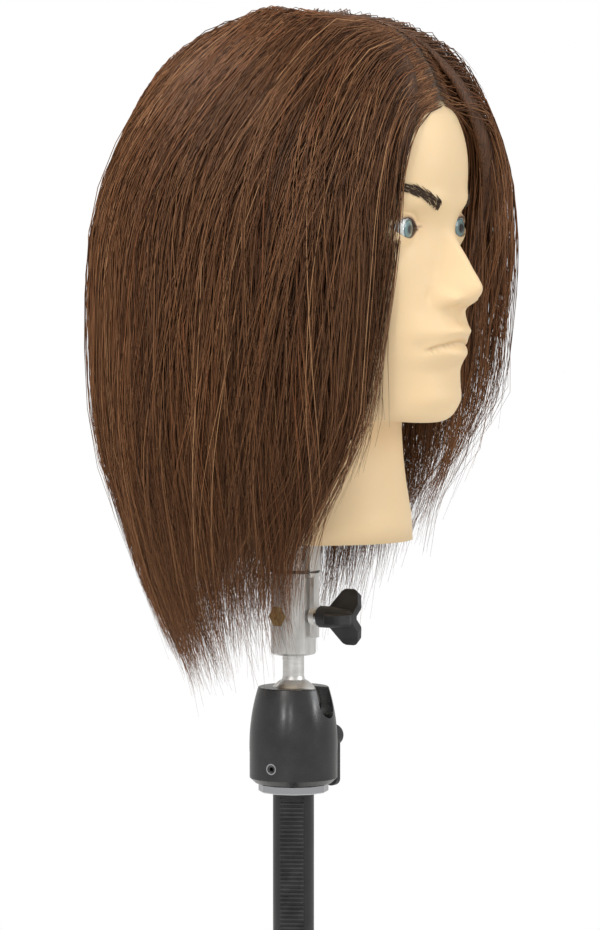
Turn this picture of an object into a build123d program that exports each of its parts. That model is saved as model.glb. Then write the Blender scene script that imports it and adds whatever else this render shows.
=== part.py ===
from build123d import *
import os
from math import asin, cos, radians, sin, sqrt

os.makedirs("parts", exist_ok=True)

# All sizes are millimetres. Origin: centre of the column's bottom end. +Z up.
# The face looks along -Y and the head's left side is +X.

# --- fits ---
press_gap = 0.03        # pieces seated in each other for good
running_gap = 0.05      # shafts that turn in their holes, on the radius
face_gap = 0.05         # faces that turn against each other
loose_gap = 0.3         # pieces that only pass each other

# --- centre column ---
column_radius = 12.0
column_wall = 3.5
column_length = 240.0
rack_heading = 205.0    # direction of the rack, degrees from +X
rack_width = 13.8
rack_pitch = 2.5
rack_tooth_height = 0.9
rack_body = 1.6
rack_depth = 2.7        # how far the rack's back lies under the tube's outside
rack_bottom = 60.0
foot_step = 1.0         # the column's foot is thinner by this, to sit in the stand
foot_length = 55.0
rack_top_margin = 3.0
end_plug_length = 12.0
end_plug_wall = 2.5
end_plug_floor = 3.0
top_plug_length = 25.0

# --- ring, washer and stud that the ball head turns on ---
ring_overhang = 8.4      # of the faceted ring beyond the column
ring_height = 5.0
ring_sides = 12
washer_radius = 15.0
washer_recess = 0.5
stud_radius = 4.0
stud_head_overhang = 3.5
stud_head_height = 4.0
stud_key_width = 6.0

# --- ball housing, its walls measured from the cup bore ---
ball_radius = 15.5
race_gap = 0.1
cup_bore_gap = 0.4       # bore beyond the ball
housing_wall = 9.7
bulge_wall = 8.3         # wall halfway up the leaning stretch
rim_wall = 4.9
foot_inset = 3.2
foot_chamfer = 3.0
housing_straight = 17.0  # height where the wall starts to lean in
rim_above_ball = 9.7     # rim above the ball's centre
floor_step = 2.1         # housing floor's radius beyond the cup bore
floor_thickness = 11.6
slot_gap = 1.3           # drop slot beyond the stem, each side
bush_wall = 3.0
grub_radius = 2.5
grub_height = 10.2
grub_key_width = 2.5
bezel_wall = 0.75
bezel_depth = 1.0

# --- cam lock ---
cam_height = 22.7        # cam axis above the housing's foot
cam_radius = 4.5
cam_throw = 0.3
cam_end_gap = 2.7
journal_radius = 4.0
small_journal_radius = 3.0
small_journal_depth = 4.5
cup_clearance = 0.12
cup_gap = 0.1
cup_base = 3.08          # cup's thickness under the ball
lever_hub_radius = 6.25
lever_hub_length = 18.0
lever_arm_thickness = 5.0
lever_arm_width = 8.0
lever_arm_drop = 26.0
lever_screw_radius = 1.95
lever_screw_seat = 2.4

# --- ball stud ---
stem_radius = 6.2
stem_above_ball = 12.9   # length of the stem clear of the ball
stem_flare = 0.7
spigot_step = 1.25
spigot_length = 13.7

# --- holder post ---
post_radius = 13.0
post_length = 109.7
flat_depth = 1.7         # of the front flat below the round
top_lean = 2.5           # how far the flat leans back up to the top
fulcrum_height = 48.7    # spring ring above the post's foot
ring_wire_radius = 0.9
ring_inset = 0.3
mark_height = 55.0
mark_depth = 0.35
screw_height = 22.7      # wing screw above the post's foot
nut_axis_y = 4.0
nut_radius = 4.9
nut_flats = 11.0
nut_pocket_depth = 3.6
nut_wall = 4.0           # post left beyond the nut's blind end
set_screw_height = 6.0
set_screw_radius = 2.0

# --- clamp jaw and wing screw ---
jaw_foot_height = 10.3
jaw_bar_width = 6.4
jaw_slit = 1.5
jaw_bar_thickness = 2.6
jaw_head_width = 12.4
jaw_forward = 1.5        # the jaw's round outside lies this far before the post's
jaw_boss_radius = 5.6
jaw_boss_height = 0.8
jaw_hole_gap = 0.9
wing_stud_radius = 3.0
wing_stud_tip = 8.5
thrust_thickness = 1.2
knob_collar_radius = 6.3
knob_collar_length = 8.5
knob_length = 24.5
knob_cap = 4.0           # closed end of the knob, beyond the stud
wing_count = 3
wing_reach = 17.5
wing_thickness = 5.0
wing_round = 4.0
first_wing_angle = 60.0

# --- head ---
head_base = 388.5        # flat bottom of the neck above the column's bottom end
skin_thickness = 3.0
skin_gap = 0.25
socket_gap = 0.5         # socket bore beyond post and jaw
socket_wall = 3.4
socket_roof = 3.0
base_plate_thickness = 8.0
base_screw_margin = 7.4  # base screws outside the socket
base_screw_radius = 2.0
base_screw_head = 1.2
base_recess = 0.5        # plate above the neck's flat bottom
eye_radius = 14.0
eye_spread = 31.0
eye_height = 568.5
eye_centre_y = -79.6
eye_opening_width = 30.0
eye_opening_height = 11.0
hair_gap = 0.6

# Cross-sections of the head, each an ellipse: height, middle y, half width in x, half depth in y.
head_sections = [
    (458.0, -56.0, 35.0, 46.0),
    (478.0, -37.0, 50.0, 73.0),
    (508.0, -22.0, 61.0, 91.0),
    (545.0, -13.0, 69.0, 96.0),
    (590.0, -9.5, 71.0, 97.0),
    (630.0, -8.0, 69.0, 92.0),
    (660.0, -6.0, 58.0, 76.0),
    (680.0, -2.0, 38.0, 50.0),
    (687.5, -1.0, 16.0, 22.0),
]
neck_sections = [
    (head_base, -5.0, 59.0, 69.0),
    (head_base + 16.0, -6.0, 57.0, 64.0),
    (head_base + 45.0, -9.0, 53.0, 57.0),
    (head_base + 95.0, -11.0, 51.0, 54.0),
]
nose_sections = [
    (524.0, -106.0, 15.0, 12.0),
    (535.0, -108.5, 13.5, 15.0),
    (552.0, -105.0, 8.5, 10.5),
    (570.0, -99.0, 6.5, 6.5),
]
# Outer form of the hair and the free space that hangs inside it.
hair_sections = [
    (318.0, 4.0, 84.0, 96.0),
    (360.0, 1.0, 95.0, 110.0),
    (430.0, -2.0, 102.0, 118.0),
    (510.0, -4.0, 104.0, 121.0),
    (570.0, -5.0, 102.0, 120.0),
    (620.0, -4.0, 93.0, 110.0),
    (655.0, -2.0, 76.0, 88.0),
    (682.0, 0.0, 48.0, 56.0),
    (697.0, 0.0, 18.0, 22.0),
]
hair_hollow_sections = [
    (300.0, -2.0, 60.0, 68.0),
    (400.0, -6.0, 66.0, 76.0),
    (470.0, -10.0, 68.0, 84.0),
    (530.0, -12.0, 71.5, 97.5),
]
# Outline of the face opening in the hair, half of it, seen from the front: x, z.
face_window = [(0.0, 646.0), (22.0, 626.0), (38.0, 590.0), (48.0, 545.0), (56.0, 480.0), (62.0, 290.0)]
window_back_y = -30.0
hair_front_end = 440.0   # where the hair ends at the front
hair_back_end = 318.0    # where the hair ends behind the head
top_parting_height = 622.0
back_parting_y = 38.0

# --- sizes and places worked out from the ones above ---
column_bore_radius = column_radius - column_wall
column_foot_radius = column_radius - foot_step
rack_back = column_radius - rack_depth
ring_radius = column_radius + ring_overhang
stud_head_radius = stud_radius + stud_head_overhang

race_radius = ball_radius + race_gap
cup_bore_radius = ball_radius + cup_bore_gap
cup_radius = cup_bore_radius - cup_gap
housing_radius = cup_bore_radius + housing_wall
housing_rim_radius = cup_bore_radius + rim_wall
housing_bulge = cup_bore_radius + bulge_wall
floor_radius = cup_bore_radius + floor_step
slot_width = 2 * (stem_radius + slot_gap)
cup_top_drop = slot_width / 2 + cup_gap
cam_half_length = cup_bore_radius - cam_end_gap
lever_hub_start = housing_radius + 0.4
lever_arm_start = lever_hub_start + lever_hub_length
lever_end = lever_arm_start + lever_arm_thickness

foot_z = column_length + ring_height + loose_gap
floor_top = foot_z + floor_thickness
cam_z = foot_z + cam_height
cup_bottom = cam_z + cam_radius + cam_throw + cup_clearance
ball_z = cup_bottom + cup_base + race_radius
rim_z = ball_z + rim_above_ball
ball_centre = (0, 0, ball_z)

spigot_radius = stem_radius - spigot_step
stem_top_z = ball_z + ball_radius + stem_above_ball
post_z = stem_top_z + loose_gap
post_top = post_z + post_length
screw_z = post_z + screw_height
fulcrum_z = post_z + fulcrum_height

post_flat = post_radius - flat_depth
jaw_back = post_flat + loose_gap
jaw_bar_back = post_flat + jaw_slit
jaw_bar_front = jaw_bar_back + jaw_bar_thickness
jaw_boss_front = jaw_bar_front + jaw_boss_height
jaw_outer_radius = post_radius + jaw_forward
ring_half_x = post_radius - ring_inset
ring_half_y = (post_radius + jaw_outer_radius + jaw_forward) / 2 - 2 * ring_inset
ring_centre_y = (post_radius - jaw_outer_radius - jaw_forward) / 2 + ring_inset
socket_bore_radius = jaw_outer_radius + socket_gap


def ellipse_loft(sections, grow):
    """Closed solid through stacked ellipses, every wall moved outwards by grow."""
    with BuildPart() as form:
        for height, middle, half_x, half_y in sections:
            with BuildSketch(Plane.XY.offset(height)):
                with Locations((0, middle)):
                    Ellipse(half_x + grow, half_y + grow)
        loft()
    return form.part


def head_form(grow):
    """Skull, jaw, nose and neck in one solid, every wall moved outwards by grow."""
    low, high = head_sections[0], head_sections[-1]
    skull = [(low[0] - grow, *low[1:]), *head_sections[1:-1], (high[0] + grow, *high[1:])]
    with BuildPart() as form:
        add(ellipse_loft(skull, grow))
        add(ellipse_loft(neck_sections, grow))
        add(ellipse_loft(nose_sections, grow))
    return form.part


# ------------------------------------------------------------------ centre column
heading = radians(rack_heading)
rack_plane = Plane(origin=(0, 0, 0), x_dir=(cos(heading), sin(heading), 0), z_dir=(sin(heading), -cos(heading), 0))
rack_top = column_length - rack_top_margin
pocket_gap = running_gap * 2

with BuildPart() as centre_column:
    with BuildSketch():
        Circle(column_foot_radius)
        Circle(column_bore_radius, mode=Mode.SUBTRACT)
    extrude(amount=foot_length)
    with BuildSketch(Plane.XY.offset(foot_length)):
        Circle(column_radius)
        Circle(column_bore_radius, mode=Mode.SUBTRACT)
    extrude(amount=column_length - foot_length)
    with BuildSketch(rack_plane):
        with Locations((rack_back - pocket_gap, rack_bottom - pocket_gap)):
            Rectangle(column_radius, rack_top - rack_bottom + 2 * pocket_gap, align=(Align.MIN, Align.MIN))
    extrude(amount=rack_width / 2 + pocket_gap, both=True, mode=Mode.SUBTRACT)
centre_column.part.label = "centre_column"
export_step(centre_column.part, "parts/centre_column.step")

tooth_root = rack_back + rack_body
tooth_tip = tooth_root + rack_tooth_height
tooth_count = int((rack_top - rack_bottom) / rack_pitch)
rack_outline = [(rack_back, rack_bottom), (tooth_root, rack_bottom)]
for tooth in range(tooth_count):
    tooth_z = rack_bottom + tooth * rack_pitch
    rack_outline += [
        (tooth_root, tooth_z + 0.14 * rack_pitch),
        (tooth_tip, tooth_z + 0.30 * rack_pitch),
        (tooth_tip, tooth_z + 0.70 * rack_pitch),
        (tooth_root, tooth_z + 0.86 * rack_pitch),
    ]
rack_outline += [(tooth_root, rack_top), (rack_back, rack_top)]

with BuildPart() as rack_strip:
    with BuildSketch(rack_plane):
        with BuildLine():
            Polyline(*rack_outline, close=True)
        make_face()
    extrude(amount=rack_width / 2, both=True)
rack_strip.part.label = "rack_strip"
export_step(rack_strip.part, "parts/rack_strip.step")

with BuildPart() as column_end_plug:
    with BuildSketch():
        Circle(column_bore_radius - press_gap)
        Circle(column_bore_radius - end_plug_wall, mode=Mode.SUBTRACT)
    extrude(amount=end_plug_length)
    with BuildSketch():
        Circle(column_bore_radius - end_plug_wall)
    extrude(amount=end_plug_floor)
column_end_plug.part.label = "column_end_plug"
export_step(column_end_plug.part, "parts/column_end_plug.step")

with BuildPart() as column_top_plug:
    with BuildSketch(Plane.XY.offset(column_length - top_plug_length)):
        Circle(column_bore_radius - press_gap)
        Circle(stud_radius, mode=Mode.SUBTRACT)
    extrude(amount=top_plug_length)
column_top_plug.part.label = "column_top_plug"
export_step(column_top_plug.part, "parts/column_top_plug.step")

ring_top = column_length + ring_height
with BuildPart() as base_ring:
    with BuildSketch(Plane.XY.offset(column_length)):
        RegularPolygon(ring_radius, ring_sides)
        Circle(stud_radius + press_gap, mode=Mode.SUBTRACT)
    extrude(amount=ring_height)
    rim_edges = base_ring.edges().filter_by(Plane.XY).filter_by(GeomType.LINE)
    chamfer(rim_edges, 0.6)
    with BuildSketch(Plane.XY.offset(ring_top - washer_recess)):
        Circle(washer_radius + press_gap)
    extrude(amount=washer_recess, mode=Mode.SUBTRACT)
base_ring.part.label = "base_ring"
export_step(base_ring.part, "parts/base_ring.step")

with BuildPart() as friction_washer:
    with BuildSketch(Plane.XY.offset(ring_top - washer_recess)):
        Circle(washer_radius)
        Circle(stud_radius + bush_wall, mode=Mode.SUBTRACT)
    extrude(amount=washer_recess + loose_gap - face_gap)
friction_washer.part.label = "friction_washer"
export_step(friction_washer.part, "parts/friction_washer.step")

stud_bottom = column_length - top_plug_length + 2.0
with BuildPart() as pan_stud:
    with BuildSketch(Plane.XY.offset(stud_bottom)):
        Circle(stud_radius - press_gap)
    extrude(amount=floor_top + face_gap - stud_bottom)
    with BuildSketch(Plane.XY.offset(floor_top + face_gap)):
        Circle(stud_head_radius)
    extrude(amount=stud_head_height)
    with BuildSketch(Plane.XY.offset(floor_top + face_gap + stud_head_height)):
        RegularPolygon(stud_key_width / 2, 6, major_radius=False)
    extrude(amount=-stud_head_height / 2, mode=Mode.SUBTRACT)
pan_stud.part.label = "pan_stud"
export_step(pan_stud.part, "parts/pan_stud.step")

# ------------------------------------------------------------------ ball housing
race_rim_radius = sqrt(race_radius ** 2 - (rim_z - ball_z) ** 2)
race_middle = asin((rim_z - ball_z) / race_radius) / 2
lean_z = foot_z + housing_straight
rim_round = 0.9

with BuildPart() as ball_housing:
    with BuildSketch(Plane.XZ):
        with BuildLine():
            Polyline(
                (floor_radius + press_gap, foot_z),
                (housing_radius - foot_inset, foot_z),
                (housing_radius, foot_z + foot_chamfer),
                (housing_radius, lean_z),
            )
            ThreePointArc(
                (housing_radius, lean_z),
                (housing_bulge, (lean_z + rim_z) / 2 + 4.0),
                (housing_rim_radius, rim_z - rim_round),
            )
            RadiusArc((housing_rim_radius, rim_z - rim_round), (housing_rim_radius - rim_round, rim_z), -rim_round)
            Polyline((housing_rim_radius - rim_round, rim_z), (race_rim_radius, rim_z))
            ThreePointArc(
                (race_rim_radius, rim_z),
                (race_radius * cos(race_middle), ball_z + race_radius * sin(race_middle)),
                (race_radius, ball_z),
            )
            Polyline(
                (race_radius, ball_z),
                (cup_bore_radius, ball_z),
                (cup_bore_radius, floor_top + press_gap),
                (floor_radius + press_gap, floor_top + press_gap),
                (floor_radius + press_gap, foot_z),
            )
        make_face()
    revolve(axis=Axis.Z)
    # Drop slot at the front, open at the rim, for the stem to lie down in.
    with BuildSketch(Plane.XZ):
        with Locations((0, ball_z)):
            Circle(slot_width / 2)
            Rectangle(slot_width, 2 * rim_above_ball, align=(Align.CENTER, Align.MIN))
    extrude(amount=2 * housing_radius, mode=Mode.SUBTRACT)
    # Bearing hole for the cam spindle on the left side, blind hole opposite.
    with BuildSketch(Plane.YZ):
        with Locations((0, cam_z)):
            Circle(journal_radius + bush_wall)
    extrude(amount=2 * housing_radius, mode=Mode.SUBTRACT)
    with BuildSketch(Plane.YZ):
        with Locations((0, cam_z)):
            Circle(small_journal_radius + running_gap)
    extrude(amount=-(cup_bore_radius + small_journal_depth + 0.5), mode=Mode.SUBTRACT)
    # Threaded hole and counterbore for the grub screw on the right side.
    with BuildSketch(Plane.YZ.offset(-floor_radius)):
        with Locations((0, foot_z + grub_height)):
            Circle(grub_radius + press_gap)
    extrude(amount=-housing_radius, mode=Mode.SUBTRACT)
    with BuildSketch(Plane.YZ.offset(-(housing_radius - bezel_depth))):
        with Locations((0, foot_z + grub_height)):
            Circle((grub_radius + bezel_wall) + press_gap)
    extrude(amount=-housing_radius, mode=Mode.SUBTRACT)
ball_housing.part.label = "ball_housing"
export_step(ball_housing.part, "parts/ball_housing.step")

with BuildPart() as housing_floor:
    with BuildSketch(Plane.XY.offset(foot_z)):
        Circle(floor_radius)
        Circle(stud_radius + bush_wall, mode=Mode.SUBTRACT)
    extrude(amount=floor_thickness)
housing_floor.part.label = "housing_floor"
export_step(housing_floor.part, "parts/housing_floor.step")

with BuildPart() as pan_bush:
    with BuildSketch(Plane.XY.offset(foot_z)):
        Circle(stud_radius + bush_wall - press_gap)
        Circle(stud_radius + running_gap, mode=Mode.SUBTRACT)
    extrude(amount=floor_thickness)
pan_bush.part.label = "pan_bush"
export_step(pan_bush.part, "parts/pan_bush.step")

with BuildPart() as spindle_bush:
    with BuildSketch(Plane.YZ.offset(cup_bore_radius + 0.4)):
        with Locations((0, cam_z)):
            Circle(journal_radius + bush_wall - press_gap)
            Circle(journal_radius + running_gap, mode=Mode.SUBTRACT)
    extrude(amount=lever_hub_start - face_gap - cup_bore_radius - 0.4)
spindle_bush.part.label = "spindle_bush"
export_step(spindle_bush.part, "parts/spindle_bush.step")

grub_length = housing_radius - 0.3 - floor_radius
with BuildPart() as grub_screw:
    with BuildSketch(Plane.YZ.offset(-floor_radius - 0.1)):
        with Locations((0, foot_z + grub_height)):
            Circle(grub_radius)
    extrude(amount=-grub_length)
    with BuildSketch(Plane.YZ.offset(-floor_radius - 0.1 - grub_length)):
        with Locations((0, foot_z + grub_height)):
            RegularPolygon(grub_key_width / 2, 6, major_radius=False)
    extrude(amount=grub_length / 2, mode=Mode.SUBTRACT)
grub_screw.part.label = "grub_screw"
export_step(grub_screw.part, "parts/grub_screw.step")

with BuildPart() as grub_bezel:
    with BuildSketch(Plane.YZ.offset(-(housing_radius - bezel_depth))):
        with Locations((0, foot_z + grub_height)):
            Circle((grub_radius + bezel_wall))
            Circle(grub_radius + press_gap, mode=Mode.SUBTRACT)
    extrude(amount=-(bezel_depth + 0.25))
grub_bezel.part.label = "grub_bezel"
export_step(grub_bezel.part, "parts/grub_bezel.step")

# ------------------------------------------------------------------ cam lock
hub_bore_depth = lever_arm_start - lever_hub_start - 2.0

with BuildPart() as cam_spindle:
    with BuildSketch(Plane.YZ.offset(-cam_half_length)):
        with Locations((0, cam_z + cam_throw)):
            Circle(cam_radius)
    extrude(amount=2 * cam_half_length)
    with BuildSketch(Plane.YZ.offset(-cam_half_length)):
        with Locations((0, cam_z)):
            Circle(small_journal_radius)
    extrude(amount=-(cup_bore_radius + small_journal_depth - cam_half_length))
    with BuildSketch(Plane.YZ.offset(cam_half_length)):
        with Locations((0, cam_z)):
            Circle(journal_radius)
    extrude(amount=lever_hub_start + hub_bore_depth - cam_half_length - 0.2)
    with BuildSketch(Plane.YZ.offset(lever_hub_start)):
        with Locations((0, cam_z)):
            Circle(lever_screw_radius + press_gap)
    extrude(amount=hub_bore_depth, mode=Mode.SUBTRACT)
cam_spindle.part.label = "cam_spindle"
export_step(cam_spindle.part, "parts/cam_spindle.step")

with BuildPart() as lock_lever:
    with BuildSketch(Plane.YZ.offset(lever_hub_start)):
        with Locations((0, cam_z)):
            Circle(lever_hub_radius)
    extrude(amount=lever_end - lever_hub_start)
    with BuildSketch(Plane.YZ.offset(lever_arm_start)):
        with Locations((0, cam_z - lever_arm_drop / 2)):
            SlotOverall(lever_arm_drop + lever_arm_width, lever_arm_width, rotation=90)
    extrude(amount=lever_end - lever_arm_start)
    outer_edges = lock_lever.faces().sort_by(Axis.X)[-1].edges()
    fillet(outer_edges, 1.0)
    with BuildSketch(Plane.YZ.offset(lever_hub_start)):
        with Locations((0, cam_z)):
            Circle(journal_radius + press_gap)
    extrude(amount=hub_bore_depth, mode=Mode.SUBTRACT)
    with BuildSketch(Plane.YZ.offset(lever_hub_start)):
        with Locations((0, cam_z)):
            Circle(lever_screw_radius + press_gap)
    extrude(amount=lever_end, mode=Mode.SUBTRACT)
    with BuildSketch(Plane.YZ.offset(lever_end - lever_screw_seat)):
        with Locations((0, cam_z)):
            Circle(2 * lever_screw_radius + press_gap)
    extrude(amount=5.0, mode=Mode.SUBTRACT)
lock_lever.part.label = "lock_lever"
export_step(lock_lever.part, "parts/lock_lever.step")

with BuildPart() as lever_screw:
    with BuildSketch(Plane.YZ.offset(lever_hub_start + 3.0)):
        with Locations((0, cam_z)):
            Circle(lever_screw_radius)
    extrude(amount=lever_end - lever_screw_seat - lever_hub_start - 3.0)
    with BuildSketch(Plane.YZ.offset(lever_end - lever_screw_seat)):
        with Locations((0, cam_z)):
            Circle(2 * lever_screw_radius)
    extrude(amount=2.0)
    with BuildSketch(Plane.YZ.offset(lever_end - 0.4)):
        with Locations((0, cam_z)):
            RegularPolygon(1.25, 6, major_radius=False)
    extrude(amount=-1.5, mode=Mode.SUBTRACT)
lever_screw.part.label = "lever_screw"
export_step(lever_screw.part, "parts/lever_screw.step")

with BuildPart() as ball_cup:
    with BuildSketch(Plane.XY.offset(cup_bottom)):
        Circle(cup_radius)
    extrude(amount=ball_z - cup_top_drop - cup_bottom)
    with Locations(ball_centre):
        Sphere(race_radius, mode=Mode.SUBTRACT)
ball_cup.part.label = "ball_cup"
export_step(ball_cup.part, "parts/ball_cup.step")

# ------------------------------------------------------------------ ball stud
with BuildPart() as ball_stud:
    with Locations(ball_centre):
        Sphere(ball_radius)
    with BuildSketch(Plane.XZ):
        with BuildLine():
            Polyline(
                (0, ball_z),
                (stem_radius + stem_flare, ball_z),
                (stem_radius + stem_flare, ball_z + ball_radius - 2.4),
                (stem_radius, ball_z + ball_radius + 0.6),
                (stem_radius, stem_top_z),
                (spigot_radius, stem_top_z),
                (spigot_radius, stem_top_z + spigot_length),
                (0, stem_top_z + spigot_length),
                close=True,
            )
        make_face()
    revolve(axis=Axis.Z)
ball_stud.part.label = "ball_stud"
export_step(ball_stud.part, "parts/ball_stud.step")

# ------------------------------------------------------------------ holder post
nut_plane = Plane.YZ
screw_plane = Plane.XZ
ring_plane = Plane.XY.offset(fulcrum_z)


def ring_solid(wire_radius):
    """Wire ring of the given wire radius around post and jaw."""
    with BuildPart() as ring:
        with BuildLine(ring_plane) as path:
            EllipticalCenterArc((0, ring_centre_y), ring_half_x, ring_half_y, 0, arc_size=360)
        start = (ring_half_x, ring_centre_y, fulcrum_z)
        with BuildSketch(Plane(origin=start, x_dir=(1, 0, 0), z_dir=(0, 1, 0))):
            Circle(wire_radius)
        sweep(path=path.wires()[0])
    return ring.part


with BuildPart() as holder_post:
    with BuildSketch(Plane.XY.offset(post_z)):
        Circle(post_radius)
    extrude(amount=post_length)
    chamfer(holder_post.edges().sort_by(Axis.Z)[0], 1.0)
    # Front flat, upright up to the fulcrum and leaning back above it.
    with BuildSketch(Plane.YZ):
        with BuildLine():
            Polyline(
                (-post_flat, post_z - 1),
                (-post_flat, fulcrum_z + 2.0),
                (-(post_flat - top_lean), post_top + 1),
                (-2 * post_radius, post_top + 1),
                (-2 * post_radius, post_z - 1),
                close=True,
            )
        make_face()
    extrude(amount=post_radius, both=True, mode=Mode.SUBTRACT)
    add(ring_solid(ring_wire_radius + loose_gap), mode=Mode.SUBTRACT)
    with BuildSketch(Plane.XY.offset(post_z + mark_height)):
        Circle(2 * post_radius)
        Circle(post_radius - mark_depth, mode=Mode.SUBTRACT)
    extrude(amount=0.6, mode=Mode.SUBTRACT)
    # Hole for the ball stud's spigot, screw hole, and the pocket and hole of the barrel nut.
    with BuildSketch(Plane.XY.offset(post_z)):
        Circle(spigot_radius + running_gap)
    extrude(amount=spigot_length + 0.6, mode=Mode.SUBTRACT)
    with BuildSketch(screw_plane.offset(-(nut_axis_y + 7.0))):
        with Locations((0, screw_z)):
            Circle(wing_stud_radius + loose_gap)
    extrude(amount=2 * post_radius, mode=Mode.SUBTRACT)
    with BuildSketch(nut_plane.offset(post_radius - nut_wall)):
        with Locations((nut_axis_y, screw_z)):
            Circle(nut_radius + press_gap)
    extrude(amount=-2 * post_radius, mode=Mode.SUBTRACT)
    with BuildSketch(nut_plane.offset(-(post_radius - nut_pocket_depth))):
        with Locations((nut_axis_y, screw_z)):
            RegularPolygon(nut_flats / 2 + press_gap, 6, major_radius=False, rotation=0)
    extrude(amount=-post_radius, mode=Mode.SUBTRACT)
    with BuildSketch(screw_plane.offset(-post_radius * 2)):
        with Locations((0, post_z + set_screw_height)):
            Circle(set_screw_radius + press_gap)
    extrude(amount=2 * post_radius, mode=Mode.SUBTRACT)
holder_post.part.label = "holder_post"
export_step(holder_post.part, "parts/holder_post.step")

with BuildPart() as barrel_nut:
    with BuildSketch(nut_plane.offset(post_radius - nut_wall - 0.4)):
        with Locations((nut_axis_y, screw_z)):
            Circle(nut_radius)
    extrude(amount=-(2 * post_radius - nut_wall - 0.4 - nut_pocket_depth))
    with BuildSketch(nut_plane.offset(-(post_radius - nut_pocket_depth))):
        with Locations((nut_axis_y, screw_z)):
            RegularPolygon(nut_flats / 2, 6, major_radius=False)
    extrude(amount=-1.6)
    with BuildSketch(nut_plane.offset(-(post_radius - nut_pocket_depth) - 1.6)):
        with Locations((nut_axis_y, screw_z)):
            Circle(nut_radius - 2.4)
    extrude(amount=1.0, mode=Mode.SUBTRACT)
    with BuildSketch(screw_plane.offset(-(nut_axis_y + 2 * nut_radius))):
        with Locations((0, screw_z)):
            Circle(wing_stud_radius + running_gap)
    extrude(amount=4 * nut_radius, mode=Mode.SUBTRACT)
barrel_nut.part.label = "barrel_nut"
export_step(barrel_nut.part, "parts/barrel_nut.step")

with BuildPart() as post_set_screw:
    with BuildSketch(screw_plane.offset(-(post_radius - 0.6))):
        with Locations((0, post_z + set_screw_height)):
            Circle(set_screw_radius)
    extrude(amount=post_radius - 0.6 - spigot_radius - 2 * loose_gap)
    with BuildSketch(screw_plane.offset(-(post_radius - 0.6))):
        with Locations((0, post_z + set_screw_height)):
            RegularPolygon(1.0, 6, major_radius=False)
    extrude(amount=2.0, mode=Mode.SUBTRACT)
post_set_screw.part.label = "post_set_screw"
export_step(post_set_screw.part, "parts/post_set_screw.step")

with BuildPart() as spring_ring:
    add(ring_solid(ring_wire_radius))
spring_ring.part.label = "spring_ring"
export_step(spring_ring.part, "parts/spring_ring.step")

# ------------------------------------------------------------------ clamp jaw
jaw_bottom = post_z + jaw_foot_height
jaw_shoulder = fulcrum_z - 3.0

with BuildPart() as clamp_jaw:
    # Wide head above the fulcrum, its outside round to bear on the socket.
    with BuildSketch(Plane.XY.offset(jaw_shoulder)):
        with Locations((0, -jaw_forward)):
            Circle(jaw_outer_radius)
        with Locations((0, -jaw_back)):
            Rectangle(jaw_head_width, 2 * post_radius, align=(Align.CENTER, Align.MAX), mode=Mode.INTERSECT)
    extrude(amount=post_top - jaw_shoulder)
    # Narrow bar below it, with a round boss under the wing screw.
    with BuildSketch(Plane.XY.offset(jaw_bottom)):
        with Locations((0, -(jaw_bar_back + jaw_bar_front) / 2)):
            Rectangle(jaw_bar_width, jaw_bar_front - jaw_bar_back)
    extrude(amount=jaw_shoulder - jaw_bottom)
    with BuildSketch(screw_plane.offset(jaw_bar_back)):
        with Locations((0, screw_z)):
            Circle(jaw_boss_radius)
    extrude(amount=jaw_boss_front - jaw_bar_back)
    with BuildSketch(screw_plane):
        with Locations((0, screw_z)):
            Circle(wing_stud_radius + jaw_hole_gap)
    extrude(amount=2 * post_radius, mode=Mode.SUBTRACT)
    add(ring_solid(ring_wire_radius + loose_gap), mode=Mode.SUBTRACT)
clamp_jaw.part.label = "clamp_jaw"
export_step(clamp_jaw.part, "parts/clamp_jaw.step")

# ------------------------------------------------------------------ wing screw
thrust_start = jaw_boss_front + face_gap
knob_start = thrust_start + thrust_thickness + face_gap
knob_end = knob_start + knob_length

with BuildPart() as thrust_washer:
    with BuildSketch(screw_plane.offset(thrust_start)):
        with Locations((0, screw_z)):
            Circle(jaw_boss_radius)
            Circle(wing_stud_radius + running_gap, mode=Mode.SUBTRACT)
    extrude(amount=thrust_thickness)
thrust_washer.part.label = "thrust_washer"
export_step(thrust_washer.part, "parts/thrust_washer.step")

with BuildPart() as wing_stud:
    with BuildSketch(screw_plane.offset(-wing_stud_tip)):
        with Locations((0, screw_z)):
            Circle(wing_stud_radius)
    extrude(amount=knob_end - knob_cap + wing_stud_tip)
wing_stud.part.label = "wing_stud"
export_step(wing_stud.part, "parts/wing_stud.step")

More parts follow.
